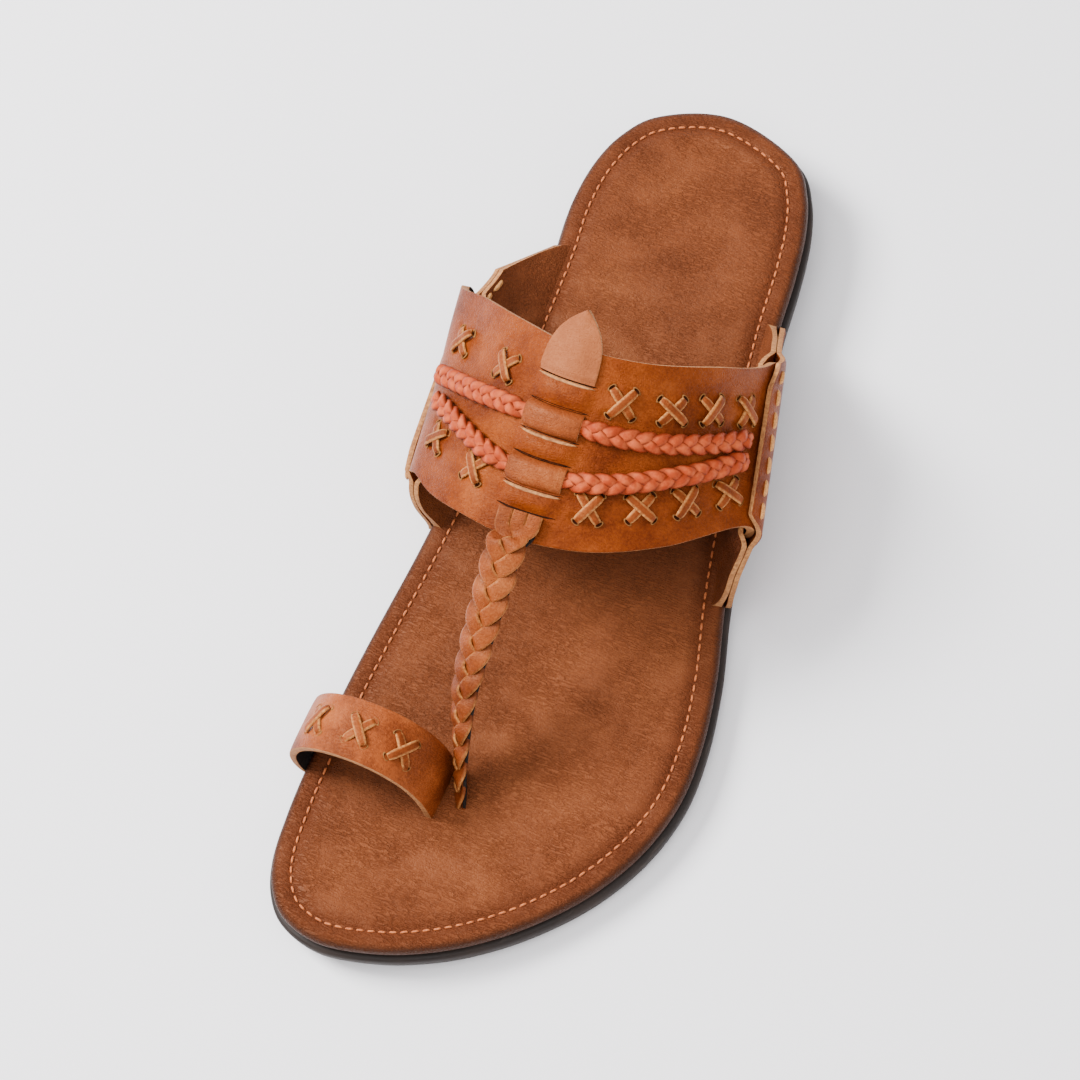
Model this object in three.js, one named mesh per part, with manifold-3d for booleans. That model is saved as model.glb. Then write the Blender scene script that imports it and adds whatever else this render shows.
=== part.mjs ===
// Kolhapuri sandal for the left foot, in millimetres, +Z up.
// The toe points to -Y, the heel to +Y, the lateral side to +X. It stands on the floor z = 0.

import * as THREE from 'three';
import { mergeVertices } from 'three/addons/utils/BufferGeometryUtils.js';
import Module from 'manifold-3d';

// Sole
const TOE_Y = -125;            // foremost point of the footbed
const HEEL_Y = 125;            // rearmost point of the footbed
const OUTSOLE_THICK = 5.5;
const OUTSOLE_PROUD = 1.2;     // outsole rim beyond the footbed
const FOOTBED_THICK = 4.6;
const FOOTBED_PILLOW = 0.7;    // padding inside the stitch line
const HEEL_DISH = 0.9;         // hollow of the heel seat
const HEEL_LIFT = 9;           // outsole's underside above the floor at the heel
const TOE_SPRING = 4;
const SPRING_FROM = -82;       // toe spring starts here
const WAIST_FROM = -28;        // forefoot flat ends here
const WAIST_TO = 57;           // heel seat starts here
const BREAST_TOP = 60;         // heel breast under the outsole
const BREAST_FOOT = 66;        // heel breast at the floor
const GAP = 0.3;               // clearance between pieces that meet

// Leather
const BAND_THICK = 2.2;        // leather with its lining
const FLAP_THICK = 1.3;        // one ear flap
const FLAP_GAP = 0.65;         // between band and flap
const FLAP_ROLL = 2.6;         // leather turning up from footbed to inner flap
const FLAP_MEET = 0.35;        // from the wall's middle to a flap where two flaps are sewn to each other
const FLAP_FOOT = 1.1;         // the same beside the footbed's edge
const FLAP_RUN = 78;           // length of an ear along the footbed
const EAR_TOP_MEDIAL = 2.45;   // top edge of an ear, in band sections
const EAR_TOP_LATERAL = 3.1;
const EAR_FRONT_MEDIAL = 1.45; // an ear's front corner, in band sections
const EAR_FRONT_LATERAL = 2.5;
const EAR_BEND_MEDIAL = 0.2;   // share of an ear's length in which its front corner bends down
const EAR_BEND_LATERAL = 0.09;
const EAR_BULGE = 0.05;        // the lateral ear's front edge bulges forward
const EAR_CUT = 0.06;          // and its rear edge ends sooner at the footbed
const BAND_FROM = 1.6;         // the band's ends inside the ears, in band sections
const BAND_HELD = 1.4;         // sections in which the band narrows towards its ends
const HELD_FRONT = 0.16;       // share of the width lost at the front and the rear of the ends
const HELD_REAR = 0.3;
const STRIP_THICK = 1.5;       // centre strip
const LOOP_WIDTH = 15.6;
const LOOP_THICK = 2.0;
const BRAID_THICK = 3.2;
const BRAID_CORE = 2.0;        // braid between its raised strands
const BRAID_TURNS = 4.6;       // strand periods from band to toe post
const CORD_WIDE = 5.2;
const CORD_HIGH = 3.0;
const CORD_FLAT = 0.47;        // cord height left under a keeper

// Footbed outline: edge positions at stations from heel to toe
const OUTLINE = [
  { y: 118, medial: -35.5, lateral: 6.4 },
  { y: 110, medial: -41.8, lateral: 12.4 },
  { y: 100, medial: -45.2, lateral: 16.2 },
  { y: 86, medial: -46.1, lateral: 18.9 },
  { y: 70, medial: -44.2, lateral: 20.8 },
  { y: 45, medial: -42.8, lateral: 25.2 },
  { y: 20, medial: -42.8, lateral: 30.6 },
  { y: -5, medial: -43.9, lateral: 36.3 },
  { y: -24, medial: -44.8, lateral: 41.9 },
  { y: -42, medial: -45.7, lateral: 45.4 },
  { y: -57, medial: -46.2, lateral: 45.9 },
  { y: -72, medial: -46.3, lateral: 42.5 },
  { y: -86, medial: -46.2, lateral: 35.5 },
  { y: -98, medial: -45.2, lateral: 26.2 },
  { y: -108, medial: -43.5, lateral: 15.8 },
  { y: -116, medial: -40.0, lateral: 4.4 },
  { y: -122, medial: -34.2, lateral: -8.6 },
];
const HEEL_X = -16.5;
const TOE_X = -23.5;

// Sections of the upper over the instep, medial to lateral: front edge and rear edge.
// The first two and the last two sections stand on the footbed's edge, between y front and y rear.
const SECTIONS = [
  { side: -1, front: -11.5, rear: 72, drop: 6 },
  { side: -1, front: -11.5, rear: 72, drop: 0.5 },
  { fx: -48.0, fy: -11.0, fz: 25.0, rx: -51.5, ry: 55.5, rz: 30.0 },
  { fx: -46.0, fy: -8.5, fz: 36.0, rx: -54.0, ry: 42.0, rz: 42.0 },
  { fx: -37.0, fy: -15.0, fz: 43.5, rx: -43.0, ry: 35.5, rz: 54.5 },
  { fx: -26.0, fy: -19.0, fz: 49.0, rx: -28.0, ry: 28.5, rz: 65.5 },
  { fx: -10.0, fy: -21.7, fz: 52.5, rx: -10.5, ry: 23.2, rz: 73.0 },
  { fx: 8.0, fy: -18.3, fz: 51.7, rx: 6.0, ry: 25.8, rz: 70.8 },
  { fx: 24.0, fy: -8.6, fz: 47.5, rx: 20.0, ry: 35.5, rz: 60.5 },
  { fx: 38.5, fy: 7.5, fz: 37.0, rx: 27.5, ry: 49.0, rz: 42.0 },
  { fx: 38.2, fy: 0.0, fz: 27.0, rx: 23.8, ry: 64.0, rz: 30.0 },
  { side: 1, front: -3.5, rear: 75, drop: 0.5 },
  { side: 1, front: -3.5, rear: 75, drop: 6 },
];
const WALL_INSET = 0.3;        // middle of the band inside the footbed's edge at the ears

// Cords on the band: across in sections, up from front edge (0) to rear edge (1)
const CORD_UPPER = [
  { across: 3.3, up: 0.535 }, { across: 4.0, up: 0.56 }, { across: 4.7, up: 0.577 },
  { across: 5.6, up: 0.607 }, { across: 6.4, up: 0.622 }, { across: 7.05, up: 0.603 },
  { across: 7.6, up: 0.58 }, { across: 8.1, up: 0.567 }, { across: 8.72, up: 0.552 },
];
const CORD_LOWER = [
  { across: 3.45, up: 0.42 }, { across: 4.1, up: 0.405 }, { across: 4.7, up: 0.372 },
  { across: 5.25, up: 0.339 }, { across: 5.7, up: 0.336 }, { across: 6.45, up: 0.346 },
  { across: 7.05, up: 0.364 }, { across: 7.7, up: 0.39 }, { across: 8.2, up: 0.41 },
  { across: 8.72, up: 0.424 },
];

// Centre strip on the band
const STRIP_MID = 6.03;        // across, in sections
const STRIP_HALF = 6.6;        // half width
const KEEPERS = [{ up: 0.613 }, { up: 0.338 }];
const LEAF_FROM = 0.845;
const LEAF_TIP = 1.19;
const SLIT_UP = 0.132;         // the braid leaves the band here
const KEEPER_RUN = 3.6;        // half length of a keeper at its foot
const KEEPER_CROWN = 2.7;      // half length on top
const KEEPER_RISE = 3.1;       // above the band
const KEEPER_WALL = 1.2;

// Braid from the band to the toe post: middle line, half width, turn of its face towards the medial side
const BRAID = [
  { x: -10.2, y: -24.5, z: 55.2, half: 5.5, turn: 4 },
  { x: -10.4, y: -35.5, z: 48.3, half: 5.2, turn: 10 },
  { x: -10.4, y: -47.5, z: 40.6, half: 4.9, turn: 20 },
  { x: -10.0, y: -58.0, z: 32.2, half: 4.7, turn: 34 },
  { x: -7.7, y: -68.0, z: 22.2, half: 4.4, turn: 52 },
  { x: -5.4, y: -75.2, z: 13.5, half: 4.1, turn: 68 },
  { x: -4.8, y: -77.6, z: 7.0, half: 4.0, turn: 74 },
];

// Toe loop from the slit beside the braid, over the big toe, to the seam at the medial edge
const LOOP_Y = -77;
const LOOP = [
  { x: -10.6, z: 7.0 }, { x: -10.8, z: 13.5 }, { x: -11.9, z: 22.5 }, { x: -15.6, z: 30.6 },
  { x: -22.5, z: 35.3 }, { x: -31.0, z: 35.8 }, { x: -39.2, z: 32.6 }, { x: -45.0, z: 26.2 },
  { x: -47.9, z: 18.5 }, { x: -48.0, z: 11.8 }, { x: -46.6, z: 8.2 }, { x: -43.0, z: 7.1 },
];
const LOOP_TUCK = 0.75;        // the tucked end is thinner

// Facets
const OUTLINE_STEPS = 92;
const SPINE_SHARE = 0.85;      // how far the inmost ring lies towards the sole's spine
const SPINE_TOE = -96;
const SPINE_HEEL = 97;

const wasm = await Module();
wasm.setup();

const lerp = (a, b, t) => a + (b - a) * t;
const clamp = (x, lo, hi) => Math.min(hi, Math.max(lo, x));
const smooth = (a, b, x) => {
  const t = clamp((x - a) / (b - a), 0, 1);
  return t * t * (3 - 2 * t);
};

// Heights along the sole
function soleBase(y) {
  const spring = clamp((SPRING_FROM - y) / (SPRING_FROM - TOE_Y), 0, 1);
  return TOE_SPRING * spring * spring + HEEL_LIFT * smooth(WAIST_FROM, WAIST_TO, y);
}
const footbedUnder = (y) => soleBase(y) + OUTSOLE_THICK + GAP;
const footbedTop = (y) => footbedUnder(y) + FOOTBED_THICK;

// Outline as a closed curve, counter-clockwise seen from above
const outlineCurve = new THREE.CatmullRomCurve3([
  new THREE.Vector3(TOE_X, TOE_Y, 0),
  ...[...OUTLINE].reverse().map((r) => new THREE.Vector3(r.lateral, r.y, 0)),
  new THREE.Vector3(HEEL_X, HEEL_Y, 0),
  ...OUTLINE.map((r) => new THREE.Vector3(r.medial, r.y, 0)),
], true);
outlineCurve.arcLengthDivisions = 1200;

// Edge of the footbed at a station, side -1 medial or +1 lateral
const fineOutline = outlineCurve.getSpacedPoints(1600);
function edgeAt(side, y) {
  for (let i = 0; i + 1 < fineOutline.length; i++) {
    const a = fineOutline[i], b = fineOutline[i + 1];
    const rising = b.y > a.y;
    if (rising === (side > 0) && (a.y - y) * (b.y - y) <= 0 && a.y !== b.y) {
      return lerp(a.x, b.x, (y - a.y) / (b.y - a.y));
    }
  }
  return side > 0 ? HEEL_X : TOE_X;
}

const outlinePoints = outlineCurve.getSpacedPoints(OUTLINE_STEPS).slice(0, OUTLINE_STEPS);
const outlineNormals = outlinePoints.map((_, i) => {
  const t = outlineCurve.getTangentAt(i / OUTLINE_STEPS);
  return new THREE.Vector2(t.y, -t.x).normalize();
});
const spineX = (y) => (edgeAt(-1, y) + edgeAt(1, y)) / 2;

// A ring: the outline moved outwards by out, then towards the spine by share, at a height
function ring(out, share, height) {
  return outlinePoints.map((p, i) => {
    const n = outlineNormals[i];
    const x0 = p.x + n.x * out, y0 = p.y + n.y * out;
    const ys = clamp(y0, SPINE_TOE, SPINE_HEEL);
    const x = lerp(x0, spineX(ys), share), y = lerp(y0, ys, share);
    return new THREE.Vector3(x, y, height(y, x));
  });
}

function geometryFrom(points, triangles) {
  const g = new THREE.BufferGeometry();
  g.setAttribute('position', new THREE.Float32BufferAttribute(points.flatMap((p) => [p.x, p.y, p.z]), 3));
  let volume = 0;
  for (const [a, b, c] of triangles) {
    volume += points[a].dot(new THREE.Vector3().crossVectors(points[b], points[c]));
  }
  g.setIndex(triangles.flatMap(([a, b, c]) => (volume < 0 ? [a, c, b] : [a, b, c])));
  return g;
}

// Triangles of a flat shape, wound the way its outline is
function capTriangles(outline) {
  const sense = THREE.ShapeUtils.area(outline);
  return THREE.ShapeUtils.triangulateShape(outline, []).map(([a, b, c]) => {
    const same = THREE.ShapeUtils.area([outline[a], outline[b], outline[c]]) * sense > 0;
    return same ? [a, b, c] : [a, c, b];
  });
}

// Triangles across a ring of the sole, rung by rung from toe to heel
function ladderTriangles(ringPoints) {
  const n = ringPoints.length, tris = [];
  for (let i = 0; i < n / 2; i++) {
    const a = i, b = i + 1, c = n - i - 1, d = (n - i) % n;
    if (b !== c) tris.push([a, b, c]);
    if (a !== d && b !== d) tris.push([a, c, d]);
  }
  return tris.filter(([a, b, c]) => a !== b && b !== c && a !== c);
}

// Closed loops one after another, capped at both ends
function loopSolid(loops, cap) {
  const n = loops[0].length;
  const points = loops.flat();
  const tris = [];
  for (let k = 0; k + 1 < loops.length; k++) {
    for (let i = 0; i < n; i++) {
      const a = k * n + i, b = k * n + ((i + 1) % n), c = a + n, d = b + n;
      tris.push([a, b, d], [a, d, c]);
    }
  }
  const last = (loops.length - 1) * n;
  for (const [a, b, c] of cap(loops[0])) tris.push([c, b, a]);
  for (const [a, b, c] of cap(loops[loops.length - 1])) tris.push([last + a, last + b, last + c]);
  return geometryFrom(points, tris);
}
const fromAbove = (loop) => capTriangles(loop.map((p) => new THREE.Vector2(p.x, p.y)));

// A sheet with an inner and an outer face, both on the same grid
function sheetSolid(nu, nv, point) {
  const points = [];
  const id = (i, j, s) => (i * (nv + 1) + j) * 2 + s;
  for (let i = 0; i <= nu; i++) {
    for (let j = 0; j <= nv; j++) {
      points.push(point(i / nu, j / nv, 0), point(i / nu, j / nv, 1));
    }
  }
  const tris = [];
  const quad = (a, b, c, d) => tris.push([a, b, c], [a, c, d]);
  for (let i = 0; i < nu; i++) {
    for (let j = 0; j < nv; j++) {
      quad(id(i, j, 1), id(i + 1, j, 1), id(i + 1, j + 1, 1), id(i, j + 1, 1));
      quad(id(i, j, 0), id(i, j + 1, 0), id(i + 1, j + 1, 0), id(i + 1, j, 0));
    }
  }
  for (let i = 0; i < nu; i++) {
    quad(id(i, 0, 0), id(i + 1, 0, 0), id(i + 1, 0, 1), id(i, 0, 1));
    quad(id(i, nv, 1), id(i + 1, nv, 1), id(i + 1, nv, 0), id(i, nv, 0));
  }
  for (let j = 0; j < nv; j++) {
    quad(id(0, j, 1), id(0, j + 1, 1), id(0, j + 1, 0), id(0, j, 0));
    quad(id(nu, j, 0), id(nu, j + 1, 0), id(nu, j + 1, 1), id(nu, j, 1));
  }
  return geometryFrom(points, tris);
}

// Joining and cutting
function toSolid(geometry) {
  const g = mergeVertices(geometry, 1e-5);
  return new wasm.Manifold(new wasm.Mesh({
    numProp: 3,
    vertProperties: new Float32Array(g.getAttribute('position').array),
    triVerts: new Uint32Array(g.index.array),
  }));
}
function fromSolid(solid) {
  const mesh = solid.getMesh();
  const g = new THREE.BufferGeometry();
  g.setAttribute('position', new THREE.BufferAttribute(new Float32Array(mesh.vertProperties), 3));
  g.setIndex(new THREE.BufferAttribute(new Uint32Array(mesh.triVerts), 1));
  return g;
}

// The surface that band and ears lie on: u counts the sections, v runs from front to rear
function sectionPoint(k, v) {
  const s = SECTIONS[clamp(k, 0, SECTIONS.length - 1)];
  if (s.side) {
    const y = lerp(s.front, s.rear, v);
    return new THREE.Vector3(edgeAt(s.side, y) - s.side * WALL_INSET, y, footbedTop(y) - s.drop);
  }
  return new THREE.Vector3(lerp(s.fx, s.rx, v), lerp(s.fy, s.ry, v), lerp(s.fz, s.rz, v));
}
const LAST = SECTIONS.length - 1;
function wallPoint(u, v) {
  const i = clamp(Math.floor(u), 0, LAST - 1), t = u - i;
  const p0 = sectionPoint(i - 1, v), p1 = sectionPoint(i, v), p2 = sectionPoint(i + 1, v), p3 = sectionPoint(i + 2, v);
  const m1 = i > 0 ? p2.clone().sub(p0).multiplyScalar(0.5) : p2.clone().sub(p1);
  const m2 = i < LAST - 1 ? p3.clone().sub(p1).multiplyScalar(0.5) : p2.clone().sub(p1);
  const t2 = t * t, t3 = t2 * t;
  return p1.multiplyScalar(2 * t3 - 3 * t2 + 1).addScaledVector(m1, t3 - 2 * t2 + t)
    .addScaledVector(p2, 3 * t2 - 2 * t3).addScaledVector(m2, t3 - t2);
}
function wallNormal(u, v) {
  const e = 0.02;
  const a = wallPoint(u + e, v).sub(wallPoint(u - e, v));
  const b = wallPoint(u, v + e).sub(wallPoint(u, v - e));
  return a.cross(b).normalize();
}
const onWall = (u, v, off) => wallPoint(u, v).addScaledVector(wallNormal(u, v), off);
const acrossScale = (u, v) => wallPoint(u + 0.05, v).distanceTo(wallPoint(u - 0.05, v)) * 10;
const upScale = (u, v) => wallPoint(u, v + 0.05).distanceTo(wallPoint(u, v - 0.05)) * 10;
const FACE = BAND_THICK / 2;

// Outsole
const outsoleGeometry = loopSolid([
  ring(OUTSOLE_PROUD - 1.6, SPINE_SHARE, soleBase),
  ring(OUTSOLE_PROUD - 1.6, 0, soleBase),
  ring(OUTSOLE_PROUD - 0.3, 0, (y) => soleBase(y) + 1.2),
  ring(OUTSOLE_PROUD, 0, (y) => soleBase(y) + OUTSOLE_THICK - 1.4),
  ring(OUTSOLE_PROUD - 0.5, 0, (y) => soleBase(y) + OUTSOLE_THICK - 0.3),
  ring(OUTSOLE_PROUD - 1.5, 0, (y) => soleBase(y) + OUTSOLE_THICK),
  ring(OUTSOLE_PROUD - 1.5, SPINE_SHARE, (y) => soleBase(y) + OUTSOLE_THICK),
], ladderTriangles);

// Heel block: the outline behind a sloped breast
const HEEL_RIM = [
  { z: 0, inset: 1.8 }, { z: 0.8, inset: 0.9 }, { z: HEEL_LIFT - 3, inset: 0.5 }, { z: null, inset: 0.5 },
];
const HEEL_STEPS = 44;
const BREAST_STEPS = 6;
function heelLoop({ z, inset }) {
  const share = z === null ? 1 : z / HEEL_LIFT;
  const front = lerp(BREAST_FOOT, BREAST_TOP, share);
  const back = fineOutline.filter((p) => p.y >= front);
  const turn = back.findIndex((p, i) => i > 0 && back[i - 1].distanceTo(p) > 20);
  const chain = turn > 0 ? [...back.slice(turn), ...back.slice(0, turn)] : back;
  const curve = new THREE.CatmullRomCurve3(chain.filter((_, i) => i % 6 === 0 || i === chain.length - 1));
  const loop = [];
  for (let i = 0; i <= HEEL_STEPS; i++) {
    const p = curve.getPointAt(i / HEEL_STEPS), t = curve.getTangentAt(i / HEEL_STEPS);
    const x = p.x - t.y * inset, y = Math.max(front, p.y + t.x * inset);
    loop.push(new THREE.Vector3(x, y, 0));
  }
  const a = loop[loop.length - 1].clone(), b = loop[0].clone();
  for (let i = 1; i < BREAST_STEPS; i++) {
    const t = i / BREAST_STEPS;
    loop.push(new THREE.Vector3(lerp(a.x, b.x, t), lerp(a.y, b.y, t) + 3 * Math.sin(Math.PI * t), 0));
  }
  for (const p of loop) p.z = z === null ? soleBase(p.y) - GAP : z;
  return loop;
}
const heelGeometry = loopSolid(HEEL_RIM.map(heelLoop), fromAbove);

// Footbed: rolled rim, shallow stitch groove, padded middle, dished heel seat
const pillow = (y, x) => footbedTop(y) + FOOTBED_PILLOW
  - HEEL_DISH * smooth(45, 90, y) * (1 - smooth(0, 26, Math.abs(x - spineX(clamp(y, SPINE_TOE, SPINE_HEEL)))));
const footbedPlate = loopSolid([
  ring(-1.4, SPINE_SHARE, footbedUnder),
  ring(-1.4, 0, footbedUnder),
  ring(-0.3, 0, (y) => footbedUnder(y) + 0.8),
  ring(0, 0, (y) => footbedUnder(y) + FOOTBED_THICK * 0.5),
  ring(-0.5, 0, (y) => footbedTop(y) - 0.9),
  ring(-1.9, 0, (y) => footbedTop(y) - 0.1),
  ring(-5.0, 0, (y) => footbedTop(y) - 0.2),
  ring(-6.8, 0, (y) => footbedTop(y) + 0.3),
  ring(-10, 0, pillow),
  ring(-10, SPINE_SHARE, pillow),
], ladderTriangles);

// Ears: a round front corner and a lower rear corner, v from front to rear
function earTop(side, t) {
  const [front, top, bend, drop] = side < 0
    ? [EAR_FRONT_MEDIAL, EAR_TOP_MEDIAL, EAR_BEND_MEDIAL, 0.4]
    : [EAR_FRONT_LATERAL, EAR_TOP_LATERAL, EAR_BEND_LATERAL, 0.15];
  const past = 1 - clamp(t / bend, 0, 1);
  return lerp(front, top, Math.sqrt(1 - past * past)) - drop * smooth(0.84, 1, t);
}
function earAlong(side, rise, t) {
  if (side < 0) return t;
  const front = -EAR_BULGE * Math.sin(Math.PI * clamp((rise - 0.6) / 2.6, 0, 1));
  return lerp(front, 1 - EAR_CUT * (1 - smooth(1.5, 3, rise)), t);
}
const bandHold = (rise) => 1 - smooth(0, BAND_HELD, rise - BAND_FROM);
// Where the flaps stand apart for the band (1) and where they meet past its edges (0)
function bandBetween(rise, v) {
  const hold = bandHold(rise);
  const past = Math.max(HELD_FRONT * hold - v, v - 1 + HELD_REAR * hold) * FLAP_RUN;
  return 1 - smooth(1.2, 8, past);
}
function flapSheet(side, low, face, roll) {
  return sheetSolid(9, 22, (a, t, s) => {
    const rise = lerp(low, earTop(side, t), 1 - Math.pow(1 - a, 1.5));
    const v = earAlong(side, rise, t);
    const u = side < 0 ? rise : LAST - rise;
    const meet = lerp(FLAP_FOOT, FLAP_MEET, smooth(1.2, 1.75, rise));
    const near = lerp(meet, FACE + FLAP_GAP, bandBetween(rise, v));
    const fillet = roll * Math.pow(clamp((1.55 - rise) / 0.8, 0, 1), 2);
    const far = near + FLAP_THICK + fillet;
    return onWall(u, v, face * ((s === 1) === (face > 0) ? far : near));
  });
}
const innerFlap = (side) => flapSheet(side, 0.5, -1, FLAP_ROLL);
const outerFlap = (side) => flapSheet(side, 0.27, 1, 0);

// Band: full width over the instep, narrower where it is held inside the ears
function bandSheet() {
  return sheetSolid(54, 4, (a, b, s) => {
    const u = lerp(BAND_FROM, LAST - BAND_FROM, a);
    const hold = bandHold(Math.min(u, LAST - u));
    const v = lerp(HELD_FRONT * hold, 1 - HELD_REAR * hold, b);
    return onWall(u, v, s ? FACE : -FACE);
  });
}
const stripAcross = (v, x) => STRIP_MID + x / acrossScale(STRIP_MID, clamp(v, 0, 1));

// Under the band the centre strip runs from the leaf's slit to the braid's slit
function strapUnder() {
  return sheetSolid(10, 2, (a, b, s) => {
    const v = lerp(SLIT_UP - 0.03, LEAF_FROM + 0.03, a);
    return onWall(stripAcross(v, lerp(-STRIP_HALF, STRIP_HALF, b)), v, s ? -FACE + 0.3 : -FACE - STRIP_THICK);
  });
}

// Keeper: a low bridge over a cord
function keeperSolid(up) {
  const run = upScale(STRIP_MID, up);
  const inside = KEEPER_RISE - KEEPER_WALL;
  const profile = [
    { along: -KEEPER_RUN, off: -0.4 }, { along: -KEEPER_CROWN, off: KEEPER_RISE - 0.4 },
    { along: 0, off: KEEPER_RISE },
    { along: KEEPER_CROWN, off: KEEPER_RISE - 0.4 }, { along: KEEPER_RUN, off: -0.4 },
    { along: KEEPER_RUN - 1.0, off: -0.4 }, { along: KEEPER_CROWN - 0.5, off: inside - 0.2 },
    { along: 0, off: inside },
    { along: -KEEPER_CROWN + 0.5, off: inside - 0.2 }, { along: -KEEPER_RUN + 1.0, off: -0.4 },
  ];
  const loops = [];
  for (let i = 0; i <= 6; i++) {
    const x = lerp(-STRIP_HALF, STRIP_HALF, i / 6);
    loops.push(profile.map((q) => {
      const v = up + q.along / run;
      return onWall(stripAcross(v, x), v, FACE + q.off);
    }));
  }
  return loopSolid(loops, () => capTriangles(profile.map((q) => new THREE.Vector2(q.along, q.off))));
}

// Leaf tip on the band, standing past its rear edge
function leafSheet() {
  return sheetSolid(12, 6, (a, b, s) => {
    const v = lerp(LEAF_FROM - 0.02, LEAF_TIP, a);
    const half = STRIP_HALF * Math.pow(Math.max(0.0025, 1 - Math.pow(a, 2.3)), 0.8);
    return onWall(stripAcross(v, lerp(-half, half, b)), v, s ? FACE + STRIP_THICK : FACE - 0.35);
  });
}

// Straps that follow a line: each station has a point, the direction across it and its face
function strapSheet(stations, nu, nv, faces) {
  const line = new THREE.CatmullRomCurve3(stations.map((s) => s.point));
  const pick = (key, t) => {
    const f = t * (stations.length - 1), i = Math.min(Math.floor(f), stations.length - 2);
    const a = stations[i][key], b = stations[i + 1][key];
    return a.isVector3 ? a.clone().lerp(b, f - i).normalize() : lerp(a, b, f - i);
  };
  return sheetSolid(nu, nv, (t, c, s) => {
    const across = pick('across', t), face = pick('face', t);
    const off = faces(t, c, s) * pick('scale', t);
    return line.getPoint(t).addScaledVector(across, lerp(-1, 1, c) * pick('half', t)).addScaledVector(face, off);
  });
}

// Braid: three strands cross over one another on a thin core
function braidStations(grow) {
  const start = [SLIT_UP + 0.03, SLIT_UP - 0.04, 0.02].map((v) => ({
    point: onWall(stripAcross(v, 0), v, FACE + BRAID_CORE / 2 - 0.3),
    across: onWall(stripAcross(v, 1), v, 0).sub(onWall(stripAcross(v, -1), v, 0)).normalize(),
    face: wallNormal(STRIP_MID, v), half: STRIP_HALF - 0.7 + grow, scale: 1,
  }));
  const down = BRAID.map((r, i) => {
    const point = new THREE.Vector3(r.x, r.y, r.z);
    const a = BRAID[Math.max(0, i - 1)], b = BRAID[Math.min(BRAID.length - 1, i + 1)];
    const along = new THREE.Vector3(b.x - a.x, b.y - a.y, b.z - a.z).normalize();
    const plain = new THREE.Vector3(1, 0, 0).addScaledVector(along, -along.x).normalize();
    const across = plain.applyAxisAngle(along, THREE.MathUtils.degToRad(r.turn));
    const face = new THREE.Vector3().crossVectors(along, across);
    return { point, across, face, half: r.half + grow, scale: 1 };
  });
  return [...start, ...down];
}
function strandRise(t, c) {
  let rise = 0;
  const x = lerp(-1, 1, c);
  for (let k = 0; k < 3; k++) {
    const phase = 2 * Math.PI * (t * BRAID_TURNS + k / 3);
    const d = (x - 0.62 * Math.sin(phase)) / 0.46;
    const high = 0.5 + 0.5 * Math.cos(2 * phase);
    if (Math.abs(d) < 1) rise = Math.max(rise, Math.sqrt(1 - d * d) * lerp(0.35, 1, high));
  }
  return rise;
}
function braidSheet() {
  return strapSheet(braidStations(0), 48, 6, (t, c, s) => {
    const fade = smooth(0, 0.06, t) * (1 - smooth(0.94, 1, t));
    return s ? BRAID_CORE / 2 + (BRAID_THICK - BRAID_CORE) * strandRise(t, c) * fade : -BRAID_CORE / 2;
  });
}
// Room for the braid's end in the footbed
function braidRoom() {
  const end = braidStations(GAP).slice(-3);
  return strapSheet(end, 6, 1, (t, c, s) => (s ? BRAID_THICK - BRAID_CORE / 2 + GAP : -BRAID_CORE / 2 - GAP));
}

// Toe loop, its face away from the toe
function loopStations(rows, grow) {
  return rows.map((r, i) => {
    const a = rows[Math.max(0, i - 1)], b = rows[Math.min(rows.length - 1, i + 1)];
    const along = new THREE.Vector3(b.x - a.x, 0, b.z - a.z).normalize();
    const face = new THREE.Vector3(along.z, 0, -along.x);
    const k = LOOP.indexOf(r);
    return {
      point: new THREE.Vector3(r.x, LOOP_Y, r.z), across: new THREE.Vector3(0, 1, 0), face,
      half: LOOP_WIDTH / 2 + grow, scale: k >= LOOP.length - 2 || k === 0 ? LOOP_TUCK : 1,
    };
  });
}
const loopSheet = () => strapSheet(loopStations(LOOP, 0), 34, 2, (t, c, s) => (s ? 1 : -1) * LOOP_THICK / 2);
const loopRoom = (rows) => strapSheet(loopStations(rows, GAP), 10, 1, (t, c, s) => (s ? 1 : -1) * (LOOP_THICK / 2 + GAP));

// Cord laid on the band, flattened under its keeper
function cordSolid(rows, keeperUp) {
  const line = new THREE.CatmullRomCurve3(rows.map((r) => new THREE.Vector3(r.across, r.up, 0)));
  const sides = 8, steps = 36;
  const loops = [];
  for (let i = 0; i <= steps; i++) {
    const q = line.getPointAt(i / steps);
    const near = Math.abs(q.x - STRIP_MID) * acrossScale(STRIP_MID, keeperUp);
    const squeeze = 1 - smooth(STRIP_HALF + 0.6, STRIP_HALF + 4.5, near);
    const ends = 1 - 0.3 * (1 - smooth(0, 0.03, i / steps)) - 0.3 * smooth(0.97, 1, i / steps);
    const high = CORD_HIGH * lerp(1, CORD_FLAT, squeeze) * ends;
    const wide = lerp(CORD_WIDE, 4.0, squeeze) * ends;
    const run = upScale(q.x, q.y);
    const loop = [];
    for (let k = 0; k < sides; k++) {
      const w = 2 * Math.PI * (k + 0.5) / sides;
      loop.push(onWall(q.x, q.y + Math.cos(w) * wide / 2 / run, FACE + GAP / 2 + high / 2 * (1 + Math.sin(w))));
    }
    loops.push(loop);
  }
  const flat = loops[0].map((_, k) => {
    const w = 2 * Math.PI * (k + 0.5) / sides;
    return new THREE.Vector2(Math.cos(w), Math.sin(w));
  });
  return loopSolid(loops, () => capTriangles(flat));
}

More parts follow.
